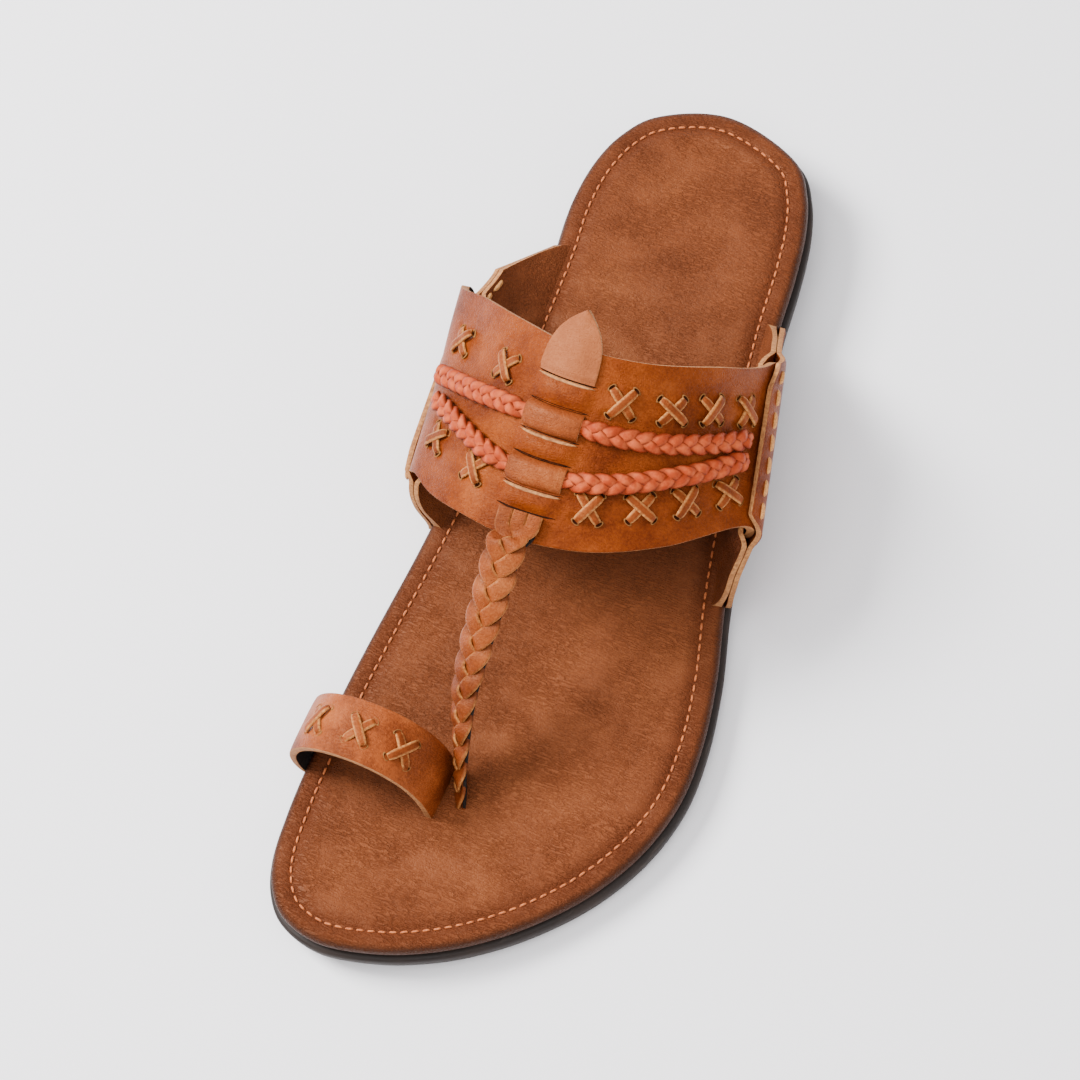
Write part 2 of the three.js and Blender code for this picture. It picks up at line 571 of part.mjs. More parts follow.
// Pieces
const loopLateral = LOOP.slice(0, 3);
const loopMedial = LOOP.slice(-5);
const footbedGeometry = fromSolid(
  toSolid(footbedPlate)
    .subtract(toSolid(braidRoom()))
    .subtract(toSolid(loopRoom(loopLateral)))
    .subtract(toSolid(loopRoom(loopMedial)))
    .add(toSolid(innerFlap(-1)))
    .add(toSolid(innerFlap(1))),
);
const upperGeometry = fromSolid(
  [strapUnder(), leafSheet(), braidSheet(), ...KEEPERS.map((k) => keeperSolid(k.up))]
    .reduce((whole, g) => whole.add(toSolid(g)), toSolid(bandSheet())),
);

const tanLeather = { color: 0x9a5a30, roughness: 0.5, metalness: 0 };
const darkRubber = { color: 0x2c2320, roughness: 0.7, metalness: 0 };
const coralPlait = { color: 0xc4684c, roughness: 0.6, metalness: 0 };

const sandal = new THREE.Group();
function addPiece(name, geometry, look) {
  const mesh = new THREE.Mesh(geometry, new THREE.MeshStandardMaterial(look));
  mesh.name = name;
  sandal.add(mesh);
}
addPiece('outsole', outsoleGeometry, darkRubber);
addPiece('heel', heelGeometry, darkRubber);
addPiece('footbed', footbedGeometry, tanLeather);
addPiece('ear_outer_medial', outerFlap(-1), tanLeather);
addPiece('ear_outer_lateral', outerFlap(1), tanLeather);
addPiece('upper', upperGeometry, tanLeather);
addPiece('toe_loop', loopSheet(), tanLeather);
addPiece('cord_upper', cordSolid(CORD_UPPER, KEEPERS[0].up), coralPlait);
addPiece('cord_lower', cordSolid(CORD_LOWER, KEEPERS[1].up), coralPlait);

// Origin on the floor under the middle of the whole sandal
const box = new THREE.Box3().setFromObject(sandal);
sandal.position.set(-(box.min.x + box.max.x) / 2, -(box.min.y + box.max.y) / 2, -box.min.z);
sandal.updateMatrixWorld(true);

export default sandal;
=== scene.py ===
"""Looks of the kolhapuri sandal: leather, plaits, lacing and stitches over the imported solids."""
import math

import bmesh
import bpy
import numpy as np
from mathutils import Matrix, Vector


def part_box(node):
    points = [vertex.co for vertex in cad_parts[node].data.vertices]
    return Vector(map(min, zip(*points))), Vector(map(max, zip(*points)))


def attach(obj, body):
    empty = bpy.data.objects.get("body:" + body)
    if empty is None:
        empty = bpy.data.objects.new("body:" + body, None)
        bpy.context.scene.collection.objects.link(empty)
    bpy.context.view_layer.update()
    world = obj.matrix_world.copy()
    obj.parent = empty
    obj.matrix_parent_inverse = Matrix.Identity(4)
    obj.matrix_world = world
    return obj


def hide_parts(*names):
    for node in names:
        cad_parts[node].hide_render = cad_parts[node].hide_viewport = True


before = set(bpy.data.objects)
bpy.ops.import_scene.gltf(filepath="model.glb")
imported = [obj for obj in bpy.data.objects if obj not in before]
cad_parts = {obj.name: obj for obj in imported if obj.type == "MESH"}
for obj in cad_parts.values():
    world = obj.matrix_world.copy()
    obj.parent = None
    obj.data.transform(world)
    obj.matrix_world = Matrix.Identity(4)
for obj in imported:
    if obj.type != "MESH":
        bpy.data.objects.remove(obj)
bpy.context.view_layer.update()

MM = 0.001
SIDES = ((-1, "medial"), (1, "lateral"))

# Sole, in millimetres, with the toe towards -Y and the lateral side towards +X
TOE = (-23.5, -125.0)
HEEL = (-16.5, 125.0)
OUTLINE = [  # y, medial edge, lateral edge
    (118, -35.5, 6.4), (110, -41.8, 12.4), (100, -45.2, 16.2), (86, -46.1, 18.9), (70, -44.2, 20.8),
    (45, -42.8, 25.2), (20, -42.8, 30.6), (-5, -43.9, 36.3), (-24, -44.8, 41.9), (-42, -45.7, 45.4),
    (-57, -46.2, 45.9), (-72, -46.3, 42.5), (-86, -46.2, 35.5), (-98, -45.2, 26.2), (-108, -43.5, 15.8),
    (-116, -40.0, 4.4), (-122, -34.2, -8.6),
]
SPINE_FROM, SPINE_TO, INNERMOST = -96, 97, 0.85
OUTSOLE_POINTS, FOOTBED_POINTS, HEEL_POINTS, BREAST_POINTS, PADDING_RINGS = 420, 520, 160, 42, 16
GAP = 0.3
TOE_SPRING, SPRING_FROM = 4.0, -82.0
HEEL_LIFT, WAIST_FROM, WAIST_TO = 9.0, -28.0, 57.0
OUTSOLE_THICK, OUTSOLE_PROUD = 5.5, 1.2
OUTSOLE_EDGE = [  # out from the widest line, height above the underside
    (-2.6, 0.0), (-1.6, 0.0), (-0.9, 0.25), (-0.45, 0.8), (-0.2, 1.7), (-0.05, 2.9), (0, 4.0),
    (-0.12, 4.6), (-0.4, 5.05), (-0.85, 5.35), (-1.5, 5.5),
]
BREAST_TOP, BREAST_FOOT, BREAST_HOLLOW = 60.0, 66.0, 3.0
HEEL_EDGE = [  # height, inset from the footbed's outline
    (0, 2.2), (0, 1.6), (0.25, 1.1), (0.8, 0.8), (2.5, 0.6), (5.0, 0.5), (7.4, 0.5), (8.0, 0.7), (8.4, 0.5),
    (HEEL_LIFT - GAP, 0.5),
]
FOOTBED_THICK, FOOTBED_PILLOW, PADDING_INSET = 4.6, 0.7, 10.0
FOOTBED_EDGE = [  # inset, height above the underside: round rim, stitch groove and rise of the padding
    (1.4, 0), (0.9, 0.25), (0.35, 0.9), (0.08, 1.7), (0, 2.3), (0.1, 3.0), (0.35, 3.6), (0.8, 4.1),
    (1.4, 4.4), (2.2, 4.55), (3.4, 4.6), (4.3, 4.56), (4.8, 4.42), (5.15, 4.26), (5.5, 4.26), (5.9, 4.42),
    (6.6, 4.78), (7.6, 5.08), (8.8, 5.24),
]
HEEL_DISH, DISH_FROM, DISH_TO, DISH_HALF = 0.9, 45, 90, 26
STITCH_INSET, STITCH_LEVEL = 5.3, 4.42

# Band and ears: places are in sections across the instep and in shares of the band's width
BAND_THICK = 2.2
FACE = BAND_THICK / 2
SECTIONS = [  # front x, y, z and rear x, y, z over the instep, medial to lateral
    (-48.0, -11.0, 25.0, -51.5, 55.5, 30.0), (-46.0, -8.5, 36.0, -54.0, 42.0, 42.0),
    (-37.0, -15.0, 43.5, -43.0, 35.5, 54.5), (-26.0, -19.0, 49.0, -28.0, 28.5, 65.5),
    (-10.0, -21.7, 52.5, -10.5, 23.2, 73.0), (8.0, -18.3, 51.7, 6.0, 25.8, 70.8),
    (24.0, -8.6, 47.5, 20.0, 35.5, 60.5), (38.5, 7.5, 37.0, 27.5, 49.0, 42.0),
    (38.2, 0.0, 27.0, 23.8, 64.0, 30.0),
]
LAST = len(SECTIONS) + 3
FEET = {-1: (-11.5, 72.0), 1: (-3.5, 75.0)}  # front and rear y of each ear on the footbed's edge
WALL_INSET, WALL_ROOT, WALL_FOOT = 0.3, 6.0, 0.5
BAND_FROM, BAND_HELD, HELD_FRONT, HELD_REAR = 1.6, 1.4, 0.16, 0.3
EARS = {  # front corner and top in sections, share in which the corner bends, drop at the rear
    -1: (1.45, 2.45, 0.2, 0.4),
    1: (2.5, 3.1, 0.09, 0.15),
}
EAR_DROP_FROM, EAR_SEAM, EAR_SEAM_LOWEST = 0.84, 0.2, 1.3
EAR_BULGE, BULGE_FROM, BULGE_RUN = 0.05, 0.6, 2.6
EAR_CUT, CUT_FROM, CUT_TO = 0.06, 1.5, 3
FLAP_THICK, FLAP_GAP, FLAP_ROLL, ROLL_TOP, ROLL_RUN = 1.3, 0.65, 2.6, 1.55, 0.8
FLAP_MEET, FLAP_FOOT, FOOT_TO, MEET_FROM = 0.1, 0.5, 1.2, 1.75
FLAP_RUN, PART_FROM, PART_TO = 78.0, 0.8, 6
INNER_FLAP_FROM, OUTER_FLAP_FROM = 0.5, 0.27

# Centre strip, braid, loop and cords
STRIP_MID, STRIP_HALF, STRIP_SHOWN, STRIP_THICK = 6.03, 6.6, 7.0, 1.5
KEEPERS = (0.613, 0.338)
KEEPER_RUN, KEEPER_RISE, KEEPER_WALL, KEEPER_SINK = 3.6, 2.635, 1.2, 0.3
KEEPER_SAG, KEEPER_UNDER = 0.3, -0.4
LEAF_FROM, LEAF_TIP, SLIT_UP = 0.845, 1.19, 0.132
LEAF_TUCK, LEAF_LIFT, LEAF_CURL, LEAF_LEAN = 0.6, 0.3, 0.5, 0.3
SLIT_PAST_KEEPER, SLIT_BEFORE_LEAF, SLIT_PAST_FRONT = 0.004, 0.014, 0.012
LIP_PAST_KEEPER, LIP_BEFORE_LEAF = 0.016, 0.026
BULGES = [(0.69, 0.835), (0.415, 0.535), (0.15, 0.262)]  # where the band rises over the strip between slits
BRAID = [  # x, y, z, half width, turn of the face towards the medial side
    (-10.2, -24.5, 55.2, 5.5, 4), (-10.4, -35.5, 48.3, 5.2, 10), (-10.4, -47.5, 40.6, 4.9, 20),
    (-10.0, -58.0, 32.2, 4.7, 34), (-7.7, -68.0, 22.2, 4.4, 52), (-5.4, -75.2, 13.5, 4.1, 68),
    (-4.8, -77.6, 7.0, 4.0, 74),
]
BRAID_PERIOD, BRAID_SETTLE, BRAID_OVER, BRAID_START = 19.5, 9.0, 0.55, 1.0
BRAID_WAVE, BRAID_STRAND_HALF, BRAID_STRAND_THICK = 0.72, 2.2, 0.58
BACKING_SHARE, BACKING_UNDER, BACKING_TOP = 0.82, 0.95, 0.25
LOOP = [  # x, z of the strap's middle line
    (-10.6, 7.0), (-10.8, 13.5), (-11.9, 22.5), (-15.6, 30.6), (-22.5, 35.3), (-31.0, 35.8), (-39.2, 32.6),
    (-45.0, 26.2), (-47.9, 18.5), (-48.0, 11.8), (-46.6, 8.2), (-43.0, 7.1),
]
LOOP_Y, LOOP_WIDTH, LOOP_THICK, LOOP_CURL, LOOP_SKIVE = -77.0, 15.6, 2.0, 0.25, 0.25
CORDS = {  # route of each cord on the band: section, share of the width
    "cord_upper": [(8.72, 0.552), (8.1, 0.567), (7.6, 0.58), (7.05, 0.603), (6.4, 0.622), (5.6, 0.607),
                   (4.7, 0.577), (4.0, 0.56), (3.3, 0.535)],
    "cord_lower": [(3.45, 0.42), (4.1, 0.405), (4.7, 0.372), (5.25, 0.339), (5.7, 0.336), (6.45, 0.346),
                   (7.05, 0.364), (7.7, 0.39), (8.2, 0.41), (8.72, 0.424)],
}
CORD_WIDE, CORD_HIGH, CORD_FLAT, CORD_NARROW = 5.2, 3.0, 0.47, 2.0
CORD_CLEAR, CORD_PERIOD, CORD_END, CORD_END_WIDE, CORD_END_HIGH = 0.12, 12.4, 3, 0.65, 0.6
CORD_WAVE, CORD_STRAND_HALF, CORD_STRAND_THICK = 0.17, 0.57, 0.29  # shares of its height, half width, height
SQUEEZE_TO, SQUEEZE_FROM = 0.6, 4.5  # beyond the strip's edge

# Lacing crosses: on the band in sections and shares of its width, on the loop in shares of its length
CROSSES = [
    (3.76, 0.75), (5.01, 0.755), (6.86, 0.78), (7.54, 0.758), (8.09, 0.757), (8.6, 0.735),
    (3.8, 0.254), (5.03, 0.232), (6.85, 0.227), (7.52, 0.234), (8.09, 0.243), (8.57, 0.236),
]
LOOP_CROSSES = (0.345, 0.485, 0.64)
CROSS_ARM, CROSS_SPREAD, LOOP_SPREAD = 8.8, 46.0, 48
THONG_SIZE, SLOT_SIZE = (CROSS_ARM, 2.4, 1.1), (1.3, 2.6, 1.0)
THONG_UNDER, THONG_STEP, SLOT_SINK, SLOT_AT = 0.2, 0.6, 0.3, 0.53

# Stitches: pitch, and length, width and height of each
FOOTBED_PITCH, FOOTBED_STITCH = 2.75, (2.05, 0.62, 0.62)
EAR_PITCH, EAR_STITCH = 5.7, (4.7, 1.25, 1.0)
EAR_ROW_FROM, EAR_ROW_TO, STITCH_CLEAR = 0.06, 0.95, 0.1

# Camera and lights, in the sandal's frame
CAMERA_AT = (193.22, -265.09, 748.15)
CAMERA_AIM = (-11.63, -10.13, 25.0)
CAMERA_UP = (-0.3262, 0.8471, 0.4195)
CAMERA_LENS, CAMERA_SENSOR = 104.0, 36.0
LIGHTS = [  # name, right, up and back from the aim as the camera sees it, size in metres, watts
    ("key", -0.95, 0.68, 0.66, 0.55, 44.0),
    ("fill", 0.9, -0.3, 0.9, 1.2, 6.0),
    ("top", -0.3, 0.2, 1.3, 1.2, 18.0),
]
SKY, SKY_STRENGTH, FLOOR, FLOOR_HALF = (244, 243, 248), 0.7, (250, 248, 250), 4


# Curves and surfaces
def smooth(a, b, x):
    """0 up to a, 1 from b on, soft between."""
    t = np.clip((np.asarray(x, float) - a) / (b - a), 0, 1)
    return t * t * (3 - 2 * t)


def mix(a, b, t):
    return a + (b - a) * t


def unit(v):
    return v / np.maximum(np.linalg.norm(v, axis=-1, keepdims=True), 1e-12)


def right_of(direction):
    """Unit vectors to the right of directions in a plane."""
    t = unit(direction)
    return np.stack([t[:, 1], -t[:, 0]], -1)


def hermite(a, b, slope_a, slope_b, t):
    start = a * (2 * t**3 - 3 * t**2 + 1) + slope_a * (t**3 - 2 * t**2 + t)
    return start + b * (3 * t**2 - 2 * t**3) + slope_b * (t**3 - t**2)


def catmull(points, per, closed=False):
    """Centripetal curve through points, per steps a span."""
    p = np.asarray(points, float)
    around = [p[-1:], p, p[:2]] if closed else [2 * p[:1] - p[1:2], p, 2 * p[-1:] - p[-2:-1]]
    padded = np.vstack(around)

    def slope(q, d, k):
        before, after = (q[k] - q[k - 1]) / d[k - 1], (q[k + 1] - q[k]) / d[k]
        return (before - (q[k + 1] - q[k - 1]) / (d[k - 1] + d[k]) + after) * d[1]

    out = []
    for i in range(len(padded) - 3):
        q = padded[i : i + 4]
        d = [max(np.linalg.norm(q[k + 1] - q[k]) ** 0.5, 1e-6) for k in range(3)]
        ends = q[1], q[2], slope(q, d, 1), slope(q, d, 2)
        out += [hermite(*ends, t) for t in np.arange(per) / per]
    return np.array(out if closed else out + [p[-1]])


def run(line):
    """Length along a polyline at each of its points."""
    return np.r_[0, np.cumsum(np.linalg.norm(np.diff(line, axis=0), axis=1))]


def sampled(table, s, at):
    """Rows of a table that is known at lengths s, read at other lengths."""
    return np.stack([np.interp(at, s, table[:, k]) for k in range(table.shape[1])], 1)


def spaced(table, count, closed=False, columns=None):
    """count rows evenly along the polyline in a table's first columns."""
    q = np.vstack([table, table[:1]]) if closed else table
    s = run(q[:, :columns])
    at = np.linspace(0, s[-1], count + 1)[:-1] if closed else np.linspace(0, s[-1], count)
    return sampled(q, s, at)


def grid(rows, columns, low=0):
    """Shares 0 to 1 down the rows, and low to 1 along the columns."""
    return np.meshgrid(np.linspace(0, 1, rows), np.linspace(low, 1, columns), indexing="ij")


LATERAL_POINTS = [(lateral, y) for y, medial, lateral in reversed(OUTLINE)]
MEDIAL_POINTS = [(medial, y) for y, medial, lateral in OUTLINE]
OUTLINE_FINE = catmull([TOE] + LATERAL_POINTS + [HEEL] + MEDIAL_POINTS, 30, closed=True)
HEEL_INDEX = int(np.argmax(OUTLINE_FINE[:, 1]))
LATERAL = OUTLINE_FINE[: HEEL_INDEX + 1]
MEDIAL = np.vstack([OUTLINE_FINE[HEEL_INDEX:], OUTLINE_FINE[:1]])[::-1]


def edge_at(side, y):
    c = LATERAL if side > 0 else MEDIAL
    return np.interp(y, c[:, 1], c[:, 0])


def spine_x(y):
    return (edge_at(-1, y) + edge_at(1, y)) / 2


def sole_base(y):
    spring = np.clip((SPRING_FROM - y) / (SPRING_FROM - TOE[1]), 0, 1)
    return TOE_SPRING * spring**2 + HEEL_LIFT * smooth(WAIST_FROM, WAIST_TO, y)


def footbed_under(y):
    return sole_base(y) + OUTSOLE_THICK + GAP


def footbed_top(y):
    return footbed_under(y) + FOOTBED_THICK


def section(k, v):
    """Points of section k at v, front 0 to rear 1; the outer two on each side stand in the footbed's edge."""
    if 1 < k < LAST - 1:
        s = np.array(SECTIONS[k - 2])
        return s[:3] + (s[3:] - s[:3]) * v[..., None]
    side = -1 if k < 2 else 1
    y = mix(*FEET[side], v)
    drop = WALL_ROOT if k in (0, LAST) else WALL_FOOT
    return np.stack([edge_at(side, y) - side * WALL_INSET, y, footbed_top(y) - drop], -1)


def wall(u, v):
    """The surface that band and ears lie on."""
    u, v = np.broadcast_arrays(np.asarray(u, float), np.asarray(v, float))
    rows = np.stack([section(k, v) for k in range(LAST + 1)])
    i = np.clip(np.floor(u).astype(int), 0, LAST - 1)

    def pick(k):
        return np.take_along_axis(rows, np.clip(k, 0, LAST)[None, ..., None], 0)[0]

    p0, p1, p2, p3 = pick(i - 1), pick(i), pick(i + 1), pick(i + 2)
    m1 = np.where((i > 0)[..., None], (p2 - p0) / 2, p2 - p1)
    m2 = np.where((i < LAST - 1)[..., None], (p3 - p1) / 2, p2 - p1)
    return hermite(p1, p2, m1, m2, (u - i)[..., None])


def wall_normal(u, v, step=0.02):
    a = wall(u + step, v) - wall(u - step, v)
    b = wall(u, v + step) - wall(u, v - step)
    return unit(np.cross(a, b))


def on_wall(u, v, off):
    u, v, off = np.broadcast_arrays(np.asarray(u, float), np.asarray(v, float), np.asarray(off, float))
    return wall(u, v) + wall_normal(u, v) * off[..., None]


def across_scale(u, v, step=0.05):
    """Millimetres to a section."""
    return float(np.linalg.norm(wall(u + step, v) - wall(u - step, v)) * (1 / (2 * step)))


def up_scale(u, v, step=0.05):
    """Millimetres to the whole width of the band."""
    return float(np.linalg.norm(wall(u, v + step) - wall(u, v - step)) * (1 / (2 * step)))


STRIP_ACROSS = across_scale(STRIP_MID, 0.5)


def strip_u(x):
    return STRIP_MID + x / STRIP_ACROSS


def ear_u(side, rise):
    return rise if side < 0 else LAST - rise


def ear_top(side, t):
    front, top, bend, drop = EARS[side]
    past = 1 - np.clip(t / bend, 0, 1)
    return mix(front, top, np.sqrt(1 - past**2)) - drop * smooth(EAR_DROP_FROM, 1, t)


def ear_along(side, rise, t):
    """Place along the band's width: the lateral ear bulges forward and ends sooner at the footbed."""
    if side < 0:
        return t
    front = -EAR_BULGE * np.sin(np.pi * np.clip((rise - BULGE_FROM) / BULGE_RUN, 0, 1))
    return mix(front, 1 - EAR_CUT * (1 - smooth(CUT_FROM, CUT_TO, rise)), t)


def band_hold(rise):
    """1 at the band's hidden end, 0 where it has its full width."""
    return 1 - smooth(0, BAND_HELD, rise - BAND_FROM)


def band_between(rise, v):
    """1 where the flaps of an ear stand apart for the band, 0 where they meet past its edges."""
    hold = band_hold(rise)
    past_edge = np.maximum(HELD_FRONT * hold - v, v - 1 + HELD_REAR * hold) * FLAP_RUN
    return 1 - smooth(PART_FROM, PART_TO, past_edge)


def flap_near(rise, v):
    """From the wall's middle to the near face of a flap."""
    meet = mix(FLAP_FOOT, FLAP_MEET, smooth(FOOT_TO, MEET_FROM, rise))
    return mix(meet, FACE + FLAP_GAP, band_between(rise, v))


# Where the solids' own coordinates lie in the row frame
SOLE_LOW, SOLE_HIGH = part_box("outsole")
OUTLINE_MID = [(OUTLINE_FINE[:, k].min() + OUTLINE_FINE[:, k].max()) / 2 for k in (0, 1)]
SHIFT = np.array([(SOLE_LOW[k] + SOLE_HIGH[k]) / 2 / MM - OUTLINE_MID[k] for k in (0, 1)] + [0.0])


def placed(p):
    return (np.asarray(p, float) + SHIFT) * MM


# Shader maths
class Wire:
    """A socket that takes part in arithmetic."""

    def __init__(self, tree, socket):
        self.tree, self.socket = tree, socket

    def make(self, kind, out=0, props=None, **inputs):
        """Another node in the same tree: inputs by name with underscores, or by number as i0, i1."""
        node = self.tree.nodes.new(kind)
        for key, value in (props or {}).items():
            setattr(node, key, value)
        for key, value in inputs.items():
            numbered = key[0] == "i" and key[1:].isdigit()
            feed(self.tree, node.inputs[int(key[1:]) if numbered else key.replace("_", " ")], value)
        return Wire(self.tree, node.outputs[out])

    def math(self, operation, *others):
        inputs = {f"i{k}": value for k, value in enumerate((self,) + others)}
        return self.make("ShaderNodeMath", props={"operation": operation}, **inputs)

    def __add__(self, other):
        return self.math("ADD", other)

    def __mul__(self, other):
        return self.math("MULTIPLY", other)

    def __sub__(self, other):
        return self.math("SUBTRACT", other)

    def __rsub__(self, other):
        return self.make("ShaderNodeMath", props={"operation": "SUBTRACT"}, i0=other, i1=self)

    __radd__, __rmul__ = __add__, __mul__

    def ramp(self, a, b):
        """0 below a, 1 above b, soft between."""
        soft = {"interpolation_type": "SMOOTHSTEP"}
        return self.make("ShaderNodeMapRange", props=soft, i0=self, i1=a, i2=b, i3=0.0, i4=1.0)

    def near(self, value, close, far):
        """1 within close of a value, 0 further than far from it."""
        return 1.0 - (self - value).math("ABSOLUTE").ramp(close, far)

    def blend(self, low, high):
        """Colour low where this is 0 and high where it is 1."""
        return self.make("ShaderNodeMix", out=2, props={"data_type": "RGBA"}, i0=self, i6=low, i7=high)


def feed(tree, socket, value):
    """Link a wire to a socket, or set a constant on it."""
    if isinstance(value, Wire):
        tree.links.new(value.socket, socket)
    else:
        socket.default_value = value


def srgb(r, g, b):
    """Display colour 0 to 255 as linear light."""
    shares = [c / 255 for c in (r, g, b)]
    return tuple(c / 12.92 if c <= 0.04045 else ((c + 0.055) / 1.055) ** 2.4 for c in shares) + (1.0,)


class Paint:
    """One material with its texture helpers; texture scales are in waves or cells a metre."""

    def __init__(self, name):
        self.material = bpy.data.materials.new(name)
        self.material.use_nodes = True
        self.tree = self.material.node_tree
        self.shader = self.tree.nodes["Principled BSDF"]
        self.where = Wire(self.tree, self.tree.nodes.new("ShaderNodeTexCoord").outputs["Object"])
        self.make = self.where.make

    def stretched(self, x, y, z):
        return self.make("ShaderNodeMapping", Vector=self.where, Scale=(x, y, z))

    def noise(self, scale, detail=3.0, roughness=0.55, at=None):
        place = at or self.where
        return self.make("ShaderNodeTexNoise", Vector=place, Scale=scale, Detail=detail, Roughness=roughness)

    def attribute(self, name):
        return self.make("ShaderNodeAttribute", out="Fac", props={"attribute_name": name})

    def set(self, **values):
        for key, value in values.items():
            feed(self.tree, self.shader.inputs[key.replace("_", " ")], value)

    def bump(self, height, distance, strength):
        self.set(Normal=self.make("ShaderNodeBump", Height=height, Distance=distance, Strength=strength))


# The burnish dark is the leather's own colour; it is also used for painted shade in the stitch groove and in
# the braid's dips.
BURNISH_AND_SHADE, BURNISH_INSET, EDGE_DARK = srgb(66, 24, 8), 4.6, srgb(40, 15, 7)
RAW_DARK, RAW_LIGHT = srgb(118, 66, 28), srgb(188, 128, 72)
WARM = (1.0, 0.64, 0.4, 1.0)
WRINKLES, WARP_SCALE, WARP, CREASE_PATCHES = (330, 1400, 900), 70.0, 1.6, 90.0
PORES, FINE_GRAIN, SPECKS, SPECK_SHARE = 1900.0, 2600.0, 1500.0, 0.2


def leather(name, dark, base, light, rough, gloss, mottle, wrinkle=0.2, crease_shade=0.1, cloudy=0.6, footbed=False):
    """Burnished leather: mottled tan, pores, wrinkles across the foot with painted shade in their creases,
    raw edges, painted shade in the stitch groove and where braid strands dip.
    """
    p = Paint(name)
    dark, base, light = (srgb(*colour) for colour in (dark, base, light))
    cloud = p.noise(mottle, detail=5.0, roughness=0.62).ramp(0.28, 0.74)
    shift = p.make("ShaderNodeTexNoise", out=1, Vector=p.where, Scale=WARP_SCALE, Detail=2.0)
    warp = p.make("ShaderNodeVectorMath", props={"operation": "SCALE"}, i0=shift, Scale=WARP)
    across = p.make("ShaderNodeVectorMath", props={"operation": "ADD"}, i0=p.stretched(*WRINKLES), i1=warp)
    patches = p.noise(CREASE_PATCHES, detail=2.0).ramp(0.2, 0.7)
    crease = p.noise(1.0, roughness=0.5, at=across).near(0.5, 0.0, 0.11) * patches
    speck = p.noise(SPECKS, detail=2.0).ramp(0.3, 0.7)
    tone = cloud * cloudy + speck * SPECK_SHARE + (1 - SPECK_SHARE - cloudy) * 0.5
    colour = tone.ramp(0.1, 0.6).blend(dark, base)
    colour = tone.ramp(0.5, 0.95).blend(colour, light)
    # Painted shade: the colour darkens in the crease valleys, on top of the real wrinkle bump.
    colour = (crease * crease_shade).blend(colour, dark)
    if footbed:
        inset = p.attribute("inset")
        burnish = inset.near(BURNISH_INSET, 0.5, 6.5) * 0.45
        # Painted shade in the stitch groove, in the same dark as the real burnish; the burnish band and the
        # dark edge are the leather's own colour.
        groove = inset.near(STITCH_INSET, 0.2, 0.9) * 0.55
        rim = (1.0 - inset.ramp(0.2, 2.4)) * 0.85
        colour = rim.blend(burnish.math("MAXIMUM", groove).blend(colour, BURNISH_AND_SHADE), EDGE_DARK)
    else:
        # Painted shade where braid strands dip under one another.
        colour = (p.attribute("deep") * 0.85).blend(colour, BURNISH_AND_SHADE)
        colour = (p.attribute("rim") * (0.35 + speck * 0.65)).blend(colour, RAW_LIGHT)
    pores = p.make("ShaderNodeTexVoronoi", Vector=p.where, Scale=PORES).ramp(0.05, 0.5)
    p.set(Base_Color=colour, Roughness=(1.0 - tone) * 0.16 + rough)
    p.set(Specular_IOR_Level=gloss, Specular_Tint=WARM)
    height = pores * 0.35 + p.noise(FINE_GRAIN, detail=2.0) * 0.2 - crease * wrinkle
    p.bump(height, distance=0.0003, strength=0.7)
    return p.material


def black_lining():
    p = Paint("black lining")
    weave = p.noise(1400.0)
    colour = weave.ramp(0.3, 0.75).blend(srgb(18, 14, 12), srgb(38, 31, 27))
    p.set(Base_Color=colour, Roughness=0.8, Specular_IOR_Level=0.15)
    p.bump(weave, distance=0.0002, strength=0.5)
    return p.material


def raw_edge():
    p = Paint("raw leather edge")
    fibre = p.noise(1.0, detail=4.0, roughness=0.7, at=p.stretched(900, 900, 2600))
    p.set(Base_Color=fibre.ramp(0.25, 0.75).blend(RAW_DARK, RAW_LIGHT), Roughness=0.82)
    p.bump(fibre, distance=0.0003, strength=0.6)
    return p.material


def dark_rubber():
    p = Paint("dark sole")
    dust = p.noise(70.0, detail=5.0, roughness=0.65).ramp(0.35, 0.75)
    scuff = p.noise(1.0, detail=4.0, roughness=0.7, at=p.stretched(60, 60, 520)).ramp(0.58, 0.75)
    colour = dust.blend(srgb(30, 22, 18), srgb(46, 36, 31))
    colour = (scuff * 0.3).blend(colour, srgb(92, 80, 72))
    p.set(Base_Color=colour, Roughness=dust * 0.15 + 0.55, Specular_IOR_Level=0.25)
    p.bump(p.noise(1800.0, detail=2.0) * 0.6 + scuff * 0.2, distance=0.0002, strength=0.4)
    return p.material


def coral_plait():
    p = Paint("coral plait")
    cloud = p.noise(420.0).ramp(0.3, 0.75)
    fibre = p.noise(1.0, roughness=0.6, at=p.stretched(1500, 1500, 1500))
    colour = (cloud * 0.7 + fibre * 0.3).ramp(0.1, 0.9).blend(srgb(154, 54, 22), srgb(188, 86, 46))
    # Painted shade in the crevices: darker on the strands' sides and where they dip under one another.
    colour = (p.attribute("deep") * 0.85).blend(colour, srgb(80, 18, 6))
    p.set(Base_Color=colour, Roughness=cloud * 0.12 + 0.5, Specular_IOR_Level=0.2, Specular_Tint=WARM)
    p.bump(fibre, distance=0.0002, strength=0.4)
    return p.material


def thread(name, dark, light):
    p = Paint(name)
    twist = p.noise(2400.0, detail=2.0).ramp(0.3, 0.7)
    p.set(Base_Color=twist.blend(srgb(*dark), srgb(*light)), Roughness=0.7)
    p.bump(twist, distance=0.0001, strength=0.5)
    return p.material


def shadow_slit():
    p = Paint("slit")
    colour = p.noise(900.0).ramp(0.3, 0.7).blend(srgb(26, 10, 4), srgb(52, 22, 9))
    p.set(Base_Color=colour, Roughness=0.85, Specular_IOR_Level=0.05)
    return p.material


def punched_slot():
    """Painted shade inside the hole, raw lip outside."""
    p = Paint("punched slot")
    lip = p.attribute("rim") * (0.2 + p.noise(1500.0) * 0.6)
    # Painted shade fills the hole; the lip has the raw edge's own light colour.
    p.set(Base_Color=lip.blend(srgb(46, 17, 5), RAW_LIGHT), Roughness=0.8, Specular_IOR_Level=0.05)
    return p.material


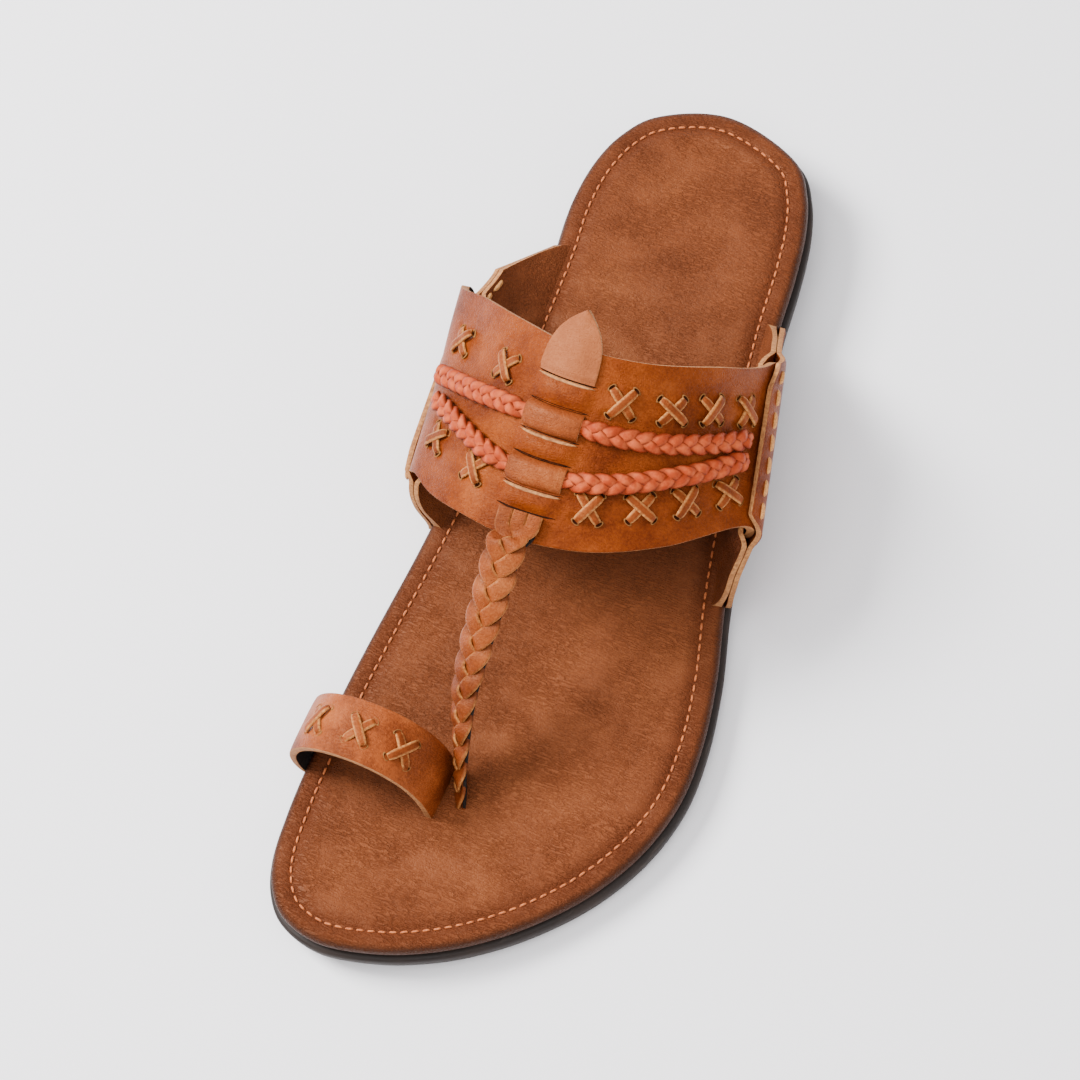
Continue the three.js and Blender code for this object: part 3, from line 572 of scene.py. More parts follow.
FOOT_LEATHER = leather(
    "footbed leather", (78, 36, 17), (106, 54, 28), (124, 68, 37),
    rough=0.4, gloss=0.22, mottle=40.0, wrinkle=1.5, crease_shade=0.2, cloudy=0.4, footbed=True)
BAND_LEATHER = leather(
    "band leather", (82, 28, 5), (116, 49, 10), (140, 67, 22),
    rough=0.34, gloss=0.14, mottle=70.0, wrinkle=0.4, crease_shade=0.2)
STRIP_LEATHER = leather(
    "strip leather", (92, 37, 11), (125, 58, 22), (150, 81, 40), rough=0.38, gloss=0.22, mottle=80.0)
LEAF_LEATHER = leather(
    "leaf leather", (122, 65, 36), (142, 79, 45), (156, 92, 56), rough=0.5, gloss=0.16, mottle=60.0)
LOOP_LEATHER = leather(
    "loop leather", (98, 40, 13), (138, 66, 27), (162, 88, 44),
    rough=0.38, gloss=0.2, mottle=75.0, wrinkle=0.4, crease_shade=0.2)
THONG_LEATHER = leather(
    "thong leather", (92, 37, 10), (120, 53, 16), (144, 74, 32), rough=0.44, gloss=0.2, mottle=120.0)
LINING, RAW, RUBBER, PLAIT = black_lining(), raw_edge(), dark_rubber(), coral_plait()
SLIT, PUNCHED = shadow_slit(), punched_slot()
FINE_THREAD = thread("footbed thread", (150, 70, 28), (196, 110, 54))
EAR_THREAD = thread("ear thread", (170, 108, 52), (212, 150, 84))


# Meshes
BEVEL_STEPS, BEVEL_ANGLE = 2, 50


def linked(name, mesh):
    obj = bpy.data.objects.new(name, mesh)
    bpy.context.scene.collection.objects.link(obj)
    return obj


def add_attribute(mesh, key, values):
    layer = mesh.attributes.new(key, "FLOAT", "POINT")
    layer.data.foreach_set("value", np.asarray(values, np.float32))


def shade_smooth(mesh):
    mesh.polygons.foreach_set("use_smooth", np.ones(len(mesh.polygons), bool))


def face_out(mesh):
    bm = bmesh.new()
    bm.from_mesh(mesh)
    bmesh.ops.recalc_face_normals(bm, faces=bm.faces)
    bm.to_mesh(mesh)
    bm.free()


def dress(obj, replaces):
    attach(obj, "root")
    if replaces:
        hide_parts(*replaces)


def build(name, verts, faces, materials, index=None, attributes=None,
          bevel=0.0, replaces=()):
    """A piece from points in millimetres, with a material index for each face."""
    mesh = bpy.data.meshes.new(name)
    mesh.from_pydata(placed(verts).tolist(), [], [tuple(map(int, f)) for f in faces])
    for material in materials:
        mesh.materials.append(material)
    if index is not None:
        mesh.polygons.foreach_set("material_index", np.asarray(index, np.int32))
    shade_smooth(mesh)
    for key, values in (attributes or {}).items():
        add_attribute(mesh, key, values)
    mesh.validate()
    obj = linked(name, mesh)
    face_out(mesh)
    if bevel:
        edge = obj.modifiers.new("edge", "BEVEL")
        edge.width, edge.segments = bevel * MM, BEVEL_STEPS
        edge.limit_method, edge.angle_limit = "ANGLE", math.radians(BEVEL_ANGLE)
    dress(obj, replaces)


def quads(nu, nv, start=0, wrap=False):
    """Faces of a grid of nu by nv points, the second way round closed if wrap."""
    i, j = np.meshgrid(np.arange(nu - 1), np.arange(nv if wrap else nv - 1), indexing="ij")
    k = (j + 1) % nv
    return np.stack([i * nv + j, (i + 1) * nv + j, (i + 1) * nv + k, i * nv + k], -1).reshape(-1, 4) + start


def tube(rows, n, start=0):
    """Faces of rows of n points round a body, with both ends closed."""
    first, last = range(start, start + n), range(start + (rows - 1) * n, start + rows * n)
    return quads(rows, n, start, wrap=True).tolist() + [list(first)[::-1], list(last)]


def sheet(inner, outer):
    """Closed sheet from two grids of points: vertices, faces and 0 outer, 1 inner, 2 rim for each face."""
    nu, nv = inner.shape[:2]
    n = nu * nv
    verts = np.vstack([outer.reshape(-1, 3), inner.reshape(-1, 3)])
    top = quads(nu, nv)
    low = top[:, ::-1] + n
    there = np.r_[np.arange(nv), np.arange(1, nu) * nv + nv - 1]
    back = np.r_[(nu - 1) * nv + np.arange(nv - 2, -1, -1), np.arange(nu - 2, 0, -1) * nv]
    rim = np.r_[there, back]
    following = np.roll(rim, -1)
    side = np.stack([rim, rim + n, following + n, following], -1)
    return verts, np.vstack([top, low, side]), np.repeat([0, 1, 2], [len(top), len(low), len(side)])


def ladder(n, start, flip):
    """Faces across a ring, rung by rung from toe to heel."""
    out = []
    for i in range(n // 2):
        rung = list(dict.fromkeys((i, i + 1, n - i - 1, (n - i) % n)))
        if len(rung) > 2:
            out.append([start + k for k in (rung[::-1] if flip else rung)])
    return out


def ring_body(rings, count):
    """A body of rings round the sole: way out, share towards the spine and height function of each.

    Gives vertices, faces and how far each vertex lies inside the outline.
    """
    p = spaced(OUTLINE_FINE, count, closed=True)
    n = right_of(np.roll(p, -1, 0) - np.roll(p, 1, 0))
    verts, inset = [], []
    for out, share, height in rings:
        q = p + n * out
        y = np.clip(q[:, 1], SPINE_FROM, SPINE_TO)
        spine = np.stack([spine_x(y), y], -1)
        xy = mix(q, spine, share)
        verts.append(np.column_stack([xy, height(xy[:, 0], xy[:, 1])]))
        inset.append(-out + share * np.linalg.norm(spine - q, axis=1))
    faces = quads(len(rings), count, wrap=True).tolist()
    faces += ladder(count, 0, True) + ladder(count, (len(rings) - 1) * count, False)
    return np.vstack(verts), faces, np.concatenate(inset)


def raised(level, rise):
    """Height function of a ring: rise above a level that changes along the foot."""
    return lambda x, y: level(y) + rise


# Sole
def make_outsole():
    low, high = OUTSOLE_PROUD + OUTSOLE_EDGE[0][0], OUTSOLE_PROUD + OUTSOLE_EDGE[-1][0]
    rings = [(low, share, raised(sole_base, 0)) for share in (INNERMOST, 0.6, 0.4, 0.2)]
    rings += [(OUTSOLE_PROUD + out, 0, raised(sole_base, rise)) for out, rise in OUTSOLE_EDGE]
    rings += [(high, share, raised(sole_base, OUTSOLE_THICK)) for share in (0.3, 0.6, INNERMOST)]
    verts, faces, _ = ring_body(rings, OUTSOLE_POINTS)
    build("outsole_rubber", verts, faces, [RUBBER], replaces=["outsole"])


def make_heel():
    outline = np.vstack([LATERAL, MEDIAL[::-1][1:]])
    loops = []
    for z, inset in HEEL_EDGE:
        front = mix(BREAST_FOOT, BREAST_TOP, z / HEEL_LIFT)
        back = spaced(outline[outline[:, 1] > front], HEEL_POINTS)
        p = back - right_of(np.gradient(back, axis=0)) * inset
        p[:, 1] = np.maximum(p[:, 1], front)
        k = np.linspace(0, 1, BREAST_POINTS)[1:-1, None]
        breast = mix(p[-1], p[0], k) + np.array([0, BREAST_HOLLOW]) * np.sin(np.pi * k)
        loop = np.vstack([p, breast])
        loops.append(np.column_stack([loop, np.full(len(loop), z)]))
    faces = tube(len(loops), len(loops[0]))
    build("heel_block", np.vstack(loops), faces, [RUBBER], replaces=["heel"])


def padding(x, y):
    """Height of the padded middle, dished at the heel."""
    off_spine = np.abs(x - spine_x(np.clip(y, SPINE_FROM, SPINE_TO)))
    dish = HEEL_DISH * smooth(DISH_FROM, DISH_TO, y) * (1 - smooth(0, DISH_HALF, off_spine))
    return footbed_top(y) + FOOTBED_PILLOW - dish


def make_footbed():
    rings = [(-FOOTBED_EDGE[0][0], share, raised(footbed_under, 0)) for share in (INNERMOST, 0.4)]
    rings += [(-inset, 0, raised(footbed_under, rise)) for inset, rise in FOOTBED_EDGE]
    rings += [(-PADDING_INSET, share, padding) for share in np.linspace(0, INNERMOST, PADDING_RINGS)]
    verts, faces, inset = ring_body(rings, FOOTBED_POINTS)
    build("footbed_leather", verts, faces, [FOOT_LEATHER], attributes={"inset": inset}, replaces=["footbed"])


# Ears
def flap_points(side, low, face, thick, roll=0):
    """One face of a flap, thick away from the face that lies on the band, rolled out at the footbed."""
    a, t = grid(60, 170)
    t = t**1.4
    rise = mix(low, ear_top(side, t), a)
    v = ear_along(side, rise, t)
    fillet = roll * np.clip((ROLL_TOP - rise) / ROLL_RUN, 0, 1) ** 2
    return on_wall(ear_u(side, rise), v, face * (flap_near(rise, v) + thick + fillet))


def make_ears():
    far_inside = 20.0
    for side, word in SIDES:
        foot_face = flap_points(side, INNER_FLAP_FROM, -1, FLAP_THICK, FLAP_ROLL)
        verts, faces, kind = sheet(foot_face, flap_points(side, INNER_FLAP_FROM, -1, 0))
        inset = {"inset": np.full(len(verts), far_inside)}
        build(f"ear_inner_{word}", verts, faces, [STRIP_LEATHER, FOOT_LEATHER, RAW], kind, inset, bevel=0.25)
        outer_face = flap_points(side, OUTER_FLAP_FROM, 1, FLAP_THICK)
        verts, faces, kind = sheet(flap_points(side, OUTER_FLAP_FROM, 1, 0), outer_face)
        build(f"ear_flap_{word}", verts, faces, [BAND_LEATHER, STRIP_LEATHER, RAW], kind, bevel=0.25,
              replaces=[f"ear_outer_{word}"])


# Band
CROSS_SWELL, CROSS_SWELL_SIZE = 0.35, 8
SLOT_DIP, SLOT_DIP_SIZE = 0.4, 2.0
STRIP_SWELL, STRIP_SWELL_IN, STRIP_SWELL_OUT = 1.05, 2.5, 2
HAND_WAVE = 0.3


def band_relief(u, v):
    """Soft troughs and ridges of the worked leather, in millimetres."""
    h = np.zeros(np.broadcast(u, v).shape)
    spread = math.radians(CROSS_SPREAD)
    for cross_u, cross_v in CROSSES:
        du = (u - cross_u) * across_scale(cross_u, cross_v)
        dv = (v - cross_v) * up_scale(cross_u, cross_v)
        h += CROSS_SWELL * np.exp(-((du**2 + dv**2) / CROSS_SWELL_SIZE))
        for sx in (-1, 1):
            for sy in (-1, 1):
                ex = du - sx * CROSS_ARM / 2 * math.cos(spread)
                ey = dv - sy * CROSS_ARM / 2 * math.sin(spread)
                h -= SLOT_DIP * np.exp(-((ex**2 + ey**2) / SLOT_DIP_SIZE))
    dx = np.abs((u - STRIP_MID) * STRIP_ACROSS)
    beside = 1 - smooth(STRIP_SHOWN - STRIP_SWELL_IN, STRIP_SHOWN + STRIP_SWELL_OUT, dx)
    for low, high in BULGES:
        share = np.clip((v - low) / (high - low), 0, 1)
        h += STRIP_SWELL * np.sin(np.pi * share) ** 0.7 * beside
    return h + HAND_WAVE * np.sin(u * 2.1 + v * 3.0) * np.sin(v * 5.0 + u)


def make_band():
    a, b = grid(520, 90)
    u = mix(BAND_FROM, LAST - BAND_FROM, a)
    hold = band_hold(np.minimum(u, LAST - u))
    v = mix(HELD_FRONT * hold, 1 - HELD_REAR * hold, b)
    h = band_relief(u, v)
    verts, faces, kind = sheet(on_wall(u, v, -FACE + np.minimum(h, 0) * 0.5), on_wall(u, v, FACE + h))
    build("instep_band", verts, faces, [BAND_LEATHER, LINING, RAW], kind, bevel=0.28, replaces=["upper"])


# Centre strip: keepers, leaf tip, the stretch under the band, and its slits
def make_keepers():
    t, w = grid(40, 40, -1)
    x = strip_u(w * STRIP_SHOWN)
    sag = KEEPER_SAG * (np.abs(w) ** 4)
    for k, up in enumerate(KEEPERS):
        along = mix(-KEEPER_RUN, KEEPER_RUN, t)
        arch = (1 - np.clip(np.abs(along) / KEEPER_RUN, 0, 1) ** 3.6) ** 0.7
        top = KEEPER_RISE * arch - KEEPER_SINK
        under = np.maximum(top - KEEPER_WALL, KEEPER_UNDER)
        v = up + along / up_scale(STRIP_MID, up)
        verts, faces, kind = sheet(on_wall(x, v, FACE + under - sag), on_wall(x, v, FACE + top - sag))
        build(f"keeper_{k + 1}", verts, faces, [STRIP_LEATHER, LINING, RAW], kind, bevel=0.2)


def make_leaf():
    a, w = grid(60, 30, -1)
    half = STRIP_SHOWN * np.maximum(0.004, 1 - a**3.1)
    x = strip_u(w * half + LEAF_LEAN * a**2)
    v = mix(LEAF_FROM - 0.01, LEAF_TIP, a)
    lift = -LEAF_TUCK * (1 - smooth(0, 0.1, a)) + LEAF_LIFT * a - LEAF_CURL * (w**2) * a
    under, top = on_wall(x, v, FACE + lift * 0.6 - 0.2), on_wall(x, v, FACE + STRIP_THICK * 0.9 + lift)
    verts, faces, kind = sheet(under, top)
    build("leaf_tip", verts, faces, [LEAF_LEATHER, LINING, RAW], kind, bevel=0.3)


def make_strip_under():
    a, w = grid(50, 12, -1)
    x = strip_u(w * STRIP_HALF)
    v = mix(SLIT_UP - 0.03, LEAF_FROM + 0.03, a)
    verts, faces, kind = sheet(on_wall(x, v, -FACE - STRIP_THICK), on_wall(x, v, -FACE + 0.1))
    build("strip_under", verts, faces, [LINING, LINING, RAW], kind, bevel=0.25)


def ridges(name, places, half, wide, rise, material):
    """Low ridges across the strip, at places up the band."""
    t, w = np.linspace(-1, 1, 5), np.linspace(-1, 1, 24)
    x = strip_u(w * half)[:, None]
    verts, faces = [], []
    for up in places:
        v = up + t[None] * (wide * (1 - w**6) + 0.02)[:, None] / up_scale(STRIP_MID, up)
        h = band_relief(x, v)
        outer = on_wall(x, v, FACE + h + 0.04 + rise * (1 - t**2)[None])
        p, f, _ = sheet(on_wall(x, v, FACE + h - 0.3), outer)
        faces += (f + sum(len(q) for q in verts)).tolist()
        verts.append(p)
    build(name, np.vstack(verts), faces, [material])


def make_slits():
    foot = KEEPER_RUN / up_scale(STRIP_MID, 0.5)
    slits = [up + s * (foot + SLIT_PAST_KEEPER) for up in KEEPERS for s in (-1, 1)]
    slits += [LEAF_FROM - SLIT_BEFORE_LEAF, SLIT_UP + SLIT_PAST_FRONT]
    ridges("strip_slits", slits, half=STRIP_SHOWN + 0.8, wide=0.3, rise=0.02, material=SLIT)
    lips = [up - foot - LIP_PAST_KEEPER for up in KEEPERS] + [LEAF_FROM - LIP_BEFORE_LEAF]
    ridges("slit_lips", lips, half=STRIP_SHOWN + 0.5, wide=0.4, rise=0.3, material=RAW)


# Plaits
def rounded(values, power):
    """Sines or cosines of a ring with its section made squarer by a power under 1."""
    return np.sign(values) * np.abs(values) ** power


def plait_strands(line, across, face, half, thick, period, strand_half, strand_thick,
                  settle=0.0, square=0.85, twist=0.12, edge_from=0.3):
    """Three flat strands over and under one another, side by side for the first settle millimetres.

    Gives vertices, faces, how far each vertex is a raised edge, and how far it dips under a strand; the dips
    are painted as shade, and the cords paint their raised edges as shade too.
    """
    sides = 12
    s = run(line)
    along = unit(np.gradient(line, axis=0))
    ring = np.linspace(0, 2 * np.pi, sides, endpoint=False)
    cx, cz = rounded(np.cos(ring), square), rounded(np.sin(ring), square)
    edge = smooth(edge_from, 1, np.abs(np.cos(ring)))
    woven = smooth(settle * 0.3, settle, s) if settle else np.ones_like(s)
    verts, faces, rims, dip_shades = [], [], [], []
    for k, place in enumerate((0, 1, -1)):
        w = 2 * np.pi * (s / period + k / 3)
        x = mix(place * half * 2 / 3, (half - strand_half * 0.9) * np.sin(w), woven)
        z = -thick * np.sin(2 * w) * woven
        mid = line + across * x[:, None] + face * z[:, None]
        side = unit(across - along * np.gradient(x, s)[:, None])
        roll = twist * np.sin(w) * woven
        cos_roll, sin_roll = np.cos(roll)[:, None], np.sin(roll)[:, None]
        flat, up = side * cos_roll - face * sin_roll, face * cos_roll + side * sin_roll
        wide = mix(half / 3, strand_half, woven)[:, None] * cx
        deep = np.broadcast_to(strand_thick, s.shape)[:, None] * cz
        points = mid[:, None] + flat[:, None] * wide[..., None] + up[:, None] * deep[..., None]
        faces += tube(len(line), sides, k * points.shape[0] * sides)
        verts.append(points.reshape(-1, 3))
        low = smooth(-0.2, 1, np.sin(2 * w)) * woven
        rims.append(((1 - low)[:, None] * edge[None]).ravel())
        dip_shades.append(np.repeat(low * 0.8, sides))
    return np.vstack(verts), faces, np.concatenate(rims), np.concatenate(dip_shades)


def make_cords():
    for name, route in CORDS.items():
        uv = catmull(route, 40)
        s = run(on_wall(uv[:, 0], uv[:, 1], FACE))
        t = np.linspace(0, s[-1], 520)
        u, v = sampled(uv, s, t).T
        off_strip = np.abs(u - STRIP_MID) * STRIP_ACROSS
        squeeze = 1 - smooth(STRIP_HALF + SQUEEZE_TO, STRIP_HALF + SQUEEZE_FROM, off_strip)
        ends = np.minimum(smooth(0, CORD_END, t), 1 - smooth(t[-1] - CORD_END, t[-1], t))
        high = mix(CORD_HIGH, CORD_HIGH * CORD_FLAT, squeeze) * mix(CORD_END_HIGH, 1, ends)
        half = mix(CORD_WIDE / 2, CORD_NARROW, squeeze) * mix(CORD_END_WIDE, 1, ends)
        face = wall_normal(u, v)
        line = on_wall(u, v, FACE + CORD_CLEAR + high / 2)
        across = unit(np.cross(unit(np.gradient(line, axis=0)), face))
        verts, faces, rim, deep = plait_strands(
            line, across, face, half, high * CORD_WAVE, CORD_PERIOD,
            half * CORD_STRAND_HALF, high * CORD_STRAND_THICK)
        # The plait material paints shade on the strands' sides and where they dip.
        build(f"{name}_plait", verts, faces, [PLAIT], attributes={"deep": np.maximum(rim, deep)},
              replaces=[name])


def braid_frame(count):
    """Middle line, across, face and half width of the braid from the band to the toe post."""
    v = np.array([SLIT_UP + 0.01, SLIT_UP - 0.05, 0.02])
    start = on_wall(strip_u(0.0), v, FACE + BRAID_START)
    normal = wall_normal(np.full(3, STRIP_MID), v)
    side = unit(on_wall(strip_u(1.0), v, 0) - on_wall(strip_u(-1.0), v, 0))
    rows = np.array(BRAID)
    p, turn = rows[:, :3], np.radians(rows[:, 4:])
    along = unit(np.gradient(p, axis=0))
    plain = unit(np.array([1.0, 0, 0]) - along * along[:, :1])
    turned = plain * np.cos(turn) + np.cross(along, plain) * np.sin(turn)
    face = np.cross(along, turned)
    half = np.r_[np.full(3, STRIP_HALF - 0.7), rows[:, 3]][:, None]
    table = np.hstack([np.vstack([start, p]), np.vstack([side, turned]), np.vstack([normal, face]), half])
    even = spaced(catmull(table, 40), count, columns=3)
    return even[:, :3], unit(even[:, 3:6]), unit(even[:, 6:9]), even[:, 9]


def make_braid():
    line, across, face, half = braid_frame(620)
    across = unit(across - face * np.sum(across * face, 1, keepdims=True))
    verts, faces, rim, deep = plait_strands(
        line + face * BRAID_OVER, across, face, half, BRAID_WAVE, BRAID_PERIOD,
        BRAID_STRAND_HALF, BRAID_STRAND_THICK, settle=BRAID_SETTLE, square=0.5, twist=0.3, edge_from=0.8)
    build("toe_braid", verts, faces, [STRIP_LEATHER], attributes={"rim": rim, "deep": deep})
    w = np.linspace(-1, 1, 7)
    middle = line[:, None] + across[:, None] * (w[None, :] * half[:, None] * BACKING_SHARE)[..., None]
    under, top = (middle - face[:, None] * deep for deep in (BACKING_UNDER, BACKING_TOP))
    verts, faces, _ = sheet(under, top)
    build("toe_braid_backing", verts, faces, [LINING])


def make_loop():
    """The toe loop's strap; gives its middle line and outward directions in x and z."""
    line = spaced(catmull(LOOP, 30), 160)
    n = right_of(np.gradient(line, axis=0))
    share = np.linspace(0, 1, len(line))
    skived = 1 - LOOP_SKIVE * (1 - smooth(0, 0.08, share)) - LOOP_SKIVE * smooth(0.9, 0.97, share)
    half = LOOP_THICK / 2 * skived
    w = np.linspace(-1, 1, 40)
    curl = LOOP_CURL * (w**4)

    def face(sign):
        xz = line + n * (sign * half)[:, None]
        x, z = (xz[:, None, k] - n[:, None, k] * curl[None] for k in (0, 1))
        return np.stack([x, LOOP_Y + w[None] * LOOP_WIDTH / 2 + 0 * x, z], -1)

    verts, faces, kind = sheet(face(-1), face(1))
    leathers = [LOOP_LEATHER, LINING, RAW]
    build("toe_loop_strap", verts, faces, leathers, kind, bevel=0.28, replaces=["toe_loop"])
    return line, n


# Laid pieces: thongs, slots and stitches, one node tree for all
def laid_tree():
    tree = bpy.data.node_groups.new("laid pieces", "GeometryNodeTree")
    for name, kind in (("Geometry", "Geometry"), ("Piece", "Object"), ("Length", "Float"), ("Width", "Float"),
                       ("Height", "Float"), ("Wobble", "Float"), ("Seed", "Int"), ("Material", "Material")):
        tree.interface.new_socket(name, in_out="INPUT", socket_type=f"NodeSocket{kind}")
    tree.interface.new_socket("Geometry", in_out="OUTPUT", socket_type="NodeSocketGeometry")
    given = {s.name: Wire(tree, s) for s in tree.nodes.new("NodeGroupInput").outputs}
    make, wobble = given["Geometry"].make, given["Wobble"]

    def direction(name):
        vector = {"data_type": "FLOAT_VECTOR"}
        return make("GeometryNodeInputNamedAttribute", out="Attribute", props=vector, Name=name)

    axes = make("FunctionNodeAxesToRotation", props={"primary_axis": "Z", "secondary_axis": "X"},
                i0=direction("out"), i1=direction("along"))
    angle = make("FunctionNodeRandomValue", out=1, props={"data_type": "FLOAT"},
                 i2=wobble * -1.0, i3=wobble, Seed=given["Seed"])
    turn = make("FunctionNodeAxisAngleToRotation", Axis=(0, 0, 1), Angle=angle)
    rotation = make("FunctionNodeRotateRotation", props={"rotation_space": "LOCAL"}, i0=axes, i1=turn)
    size = make("ShaderNodeCombineXYZ", i0=given["Length"], i1=given["Width"], i2=given["Height"])
    piece = make("GeometryNodeObjectInfo", out="Geometry", Object=given["Piece"])
    copies = make("GeometryNodeInstanceOnPoints", Points=given["Geometry"], Instance=piece,
                  Rotation=rotation, Scale=size)
    real = make("GeometryNodeRealizeInstances", i0=copies)
    painted = make("GeometryNodeSetMaterial", Geometry=real, Material=given["Material"])
    feed(tree, tree.nodes.new("NodeGroupOutput").inputs[0], painted)
    return tree


LAID = laid_tree()


def laid(name, piece, points, along, out, size, material, wobble, seed):
    """Copies of a unit piece at points, along a direction, with out as their upper side."""
    mesh = bpy.data.meshes.new(name)
    mesh.from_pydata(placed(points).tolist(), [], [])
    for key, values in (("along", along), ("out", out)):
        layer = mesh.attributes.new(key, "FLOAT_VECTOR", "POINT")
        layer.data.foreach_set("vector", np.asarray(values, np.float32).ravel())
    holder = linked(name, mesh)
    lay = holder.modifiers.new("lay", "NODES")
    lay.node_group = LAID
    key = {s.name: s.identifier for s in LAID.interface.items_tree if s.in_out == "INPUT"}
    length, width, height = (side * MM for side in size)
    for word, value in (("Piece", piece), ("Length", length), ("Width", width), ("Height", height),
                        ("Wobble", math.radians(wobble)), ("Seed", seed), ("Material", material)):
        lay[key[word]] = value
    plain = bpy.data.meshes.new_from_object(holder.evaluated_get(bpy.context.evaluated_depsgraph_get()))
    holder.modifiers.remove(lay)
    holder.data = plain
    plain.name = name
    shade_smooth(plain)
    dress(holder, ())


def template(name, verts, faces, rim):
    """A unit shape for the laid pieces, deleted at the end."""
    mesh = bpy.data.meshes.new(name)
    mesh.from_pydata(verts.tolist(), [], faces)
    add_attribute(mesh, "rim", rim)
    face_out(mesh)
    return linked(name, mesh)


def unit_piece(name, rows, sides, profile):
    """A unit strip along X: profile(x) gives the lift of its section and the section's share of full size."""
    ring = np.linspace(0, 2 * np.pi, sides, endpoint=False)
    verts = []
    for x in np.linspace(-0.5, 0.5, rows):
        lift, thin = profile(x)
        y = rounded(np.cos(ring), 0.7) * 0.5 * thin
        z = rounded(np.sin(ring), 0.8) * 0.5 * thin + lift
        verts.append(np.column_stack([np.full(sides, x), y, z]))
    rim = np.tile(smooth(0.3, 0.82, np.abs(np.cos(ring))), rows)
    return template(name, np.vstack(verts), tube(rows, sides), rim)


def stitch_profile(x):
    """Both ends dive into the leather and taper."""
    return 0.15 - 1.6 * abs(x) ** 3 * 2, (max(0.02, 1 - (abs(x) * 2) ** 4)) ** 0.5


def thong_profile(x):
    """Flat over most of its length, then down into its slots."""
    return 0.1 - 18 * abs(x) ** 5, 1.0 - 0.25 * (abs(x) * 2) ** 6


def slot_piece():
    """A punched slot: a dip painted dark as shade, with a raised raw lip, one unit across."""
    sides = 12
    rows = [(0.02, -0.1, 0), (0.3, -0.05, 0), (0.42, 0.22, 1), (0.5, -0.1, 0.5)]  # radius, height, rim
    ring = np.linspace(0, 2 * np.pi, sides, endpoint=False)
    verts = [np.column_stack([r * np.cos(ring), r * np.sin(ring), np.full(sides, z)]) for r, z, rim in rows]
    faces = quads(len(rows), sides, wrap=True).tolist() + [list(range(sides))]
    return template("slot_piece", np.vstack(verts), faces, np.repeat([rim for r, z, rim in rows], sides))


def stitch_places(line, pitch, reach):
    """Even stitches: their places along a line, those of the line's points, their middles and directions."""
    s = run(line)
    count = max(2, int(round(s[-1] / pitch)))
    at = (np.arange(count) + 0.5) / count * s[-1]
    ahead, behind = np.minimum(at + reach, s[-1]), np.maximum(at - reach, 0)
    return at, s, sampled(line, s, at), unit(sampled(line, s, ahead) - sampled(line, s, behind))


def make_footbed_stitches(stitch):
    p = spaced(OUTLINE_FINE, 1600, closed=True)
    q = p - right_of(np.roll(p, -1, 0) - np.roll(p, 1, 0)) * STITCH_INSET
    line = np.column_stack([q, footbed_under(q[:, 1]) + STITCH_LEVEL])
    _, _, mid, along = stitch_places(np.vstack([line, line[:1]]), FOOTBED_PITCH, reach=0.8)
    out = unit(np.cross(along, np.cross(np.array([0, 0, 1.0]), along)))
    laid("footbed_stitches", stitch, mid, along, out, FOOTBED_STITCH, FINE_THREAD, wobble=4.0, seed=3)


def make_ear_stitches(stitch):
    t = np.linspace(EAR_ROW_FROM, EAR_ROW_TO, 300)
    for side, word in SIDES:
        rise = np.maximum(ear_top(side, t) - EAR_SEAM, EAR_SEAM_LOWEST)
        u, v = ear_u(side, rise), ear_along(side, rise, t)
        for face, turn in (("outer", 1), ("inner", -1)):
            line = on_wall(u, v, turn * (flap_near(rise, v) + FLAP_THICK + STITCH_CLEAR))
            at, s, mid, along = stitch_places(line, EAR_PITCH, reach=1)
            out = unit(sampled(wall_normal(u, v) * turn, s, at))
            name = f"ear_stitches_{face}_{word}"
            laid(name, stitch, mid, along, out, EAR_STITCH, EAR_THREAD, wobble=5.0, seed=11)


def make_crosses(thong, slot, loop_line, loop_normal):
    arms, ends = [], []

    def cross(p, x, y, n, spread, over):
        """Two arms about p, the upper one in turn, with a slot at each end."""
        for i, sign in enumerate((-1, 1)):
            d = x * math.cos(spread) + y * math.sin(spread) * sign
            arms.append((p + n * (THONG_UNDER + THONG_STEP * ((i + over) % 2)), d, n))
            ends.extend((p + d * e * CROSS_ARM * SLOT_AT - n * SLOT_SINK, d, n) for e in (-1, 1))

    for k, (u, v) in enumerate(CROSSES):
        n = wall_normal(u, v)
        x = unit(wall(u + 0.05, v) - wall(u - 0.05, v))
        uneven = k * 37 % 11 - 5
        middle = on_wall(u, v, FACE + band_relief(u, v))
        cross(middle, x, np.cross(n, x), n, math.radians(CROSS_SPREAD + uneven), k)
    y = np.array([0, 1.0, 0])
    share = np.linspace(0, 1, len(loop_line))
    for k, at in enumerate(LOOP_CROSSES):
        i = int(np.argmin(np.abs(share - at)))
        n = np.array([loop_normal[i, 0], 0, loop_normal[i, 1]])
        middle = np.array([loop_line[i, 0], LOOP_Y, loop_line[i, 1]]) + n * LOOP_THICK / 2
        cross(middle, np.cross(y, n), y, n, math.radians(LOOP_SPREAD + 3 * k), k)
    for name, piece, rows, size, material in (
        ("lacing_crosses", thong, arms, THONG_SIZE, THONG_LEATHER),
        ("lacing_slots", slot, ends, SLOT_SIZE, PUNCHED),
    ):
        points, along, out = (np.array(c) for c in zip(*rows))
        laid(name, piece, points, along, out, size, material, wobble=3.0, seed=5)


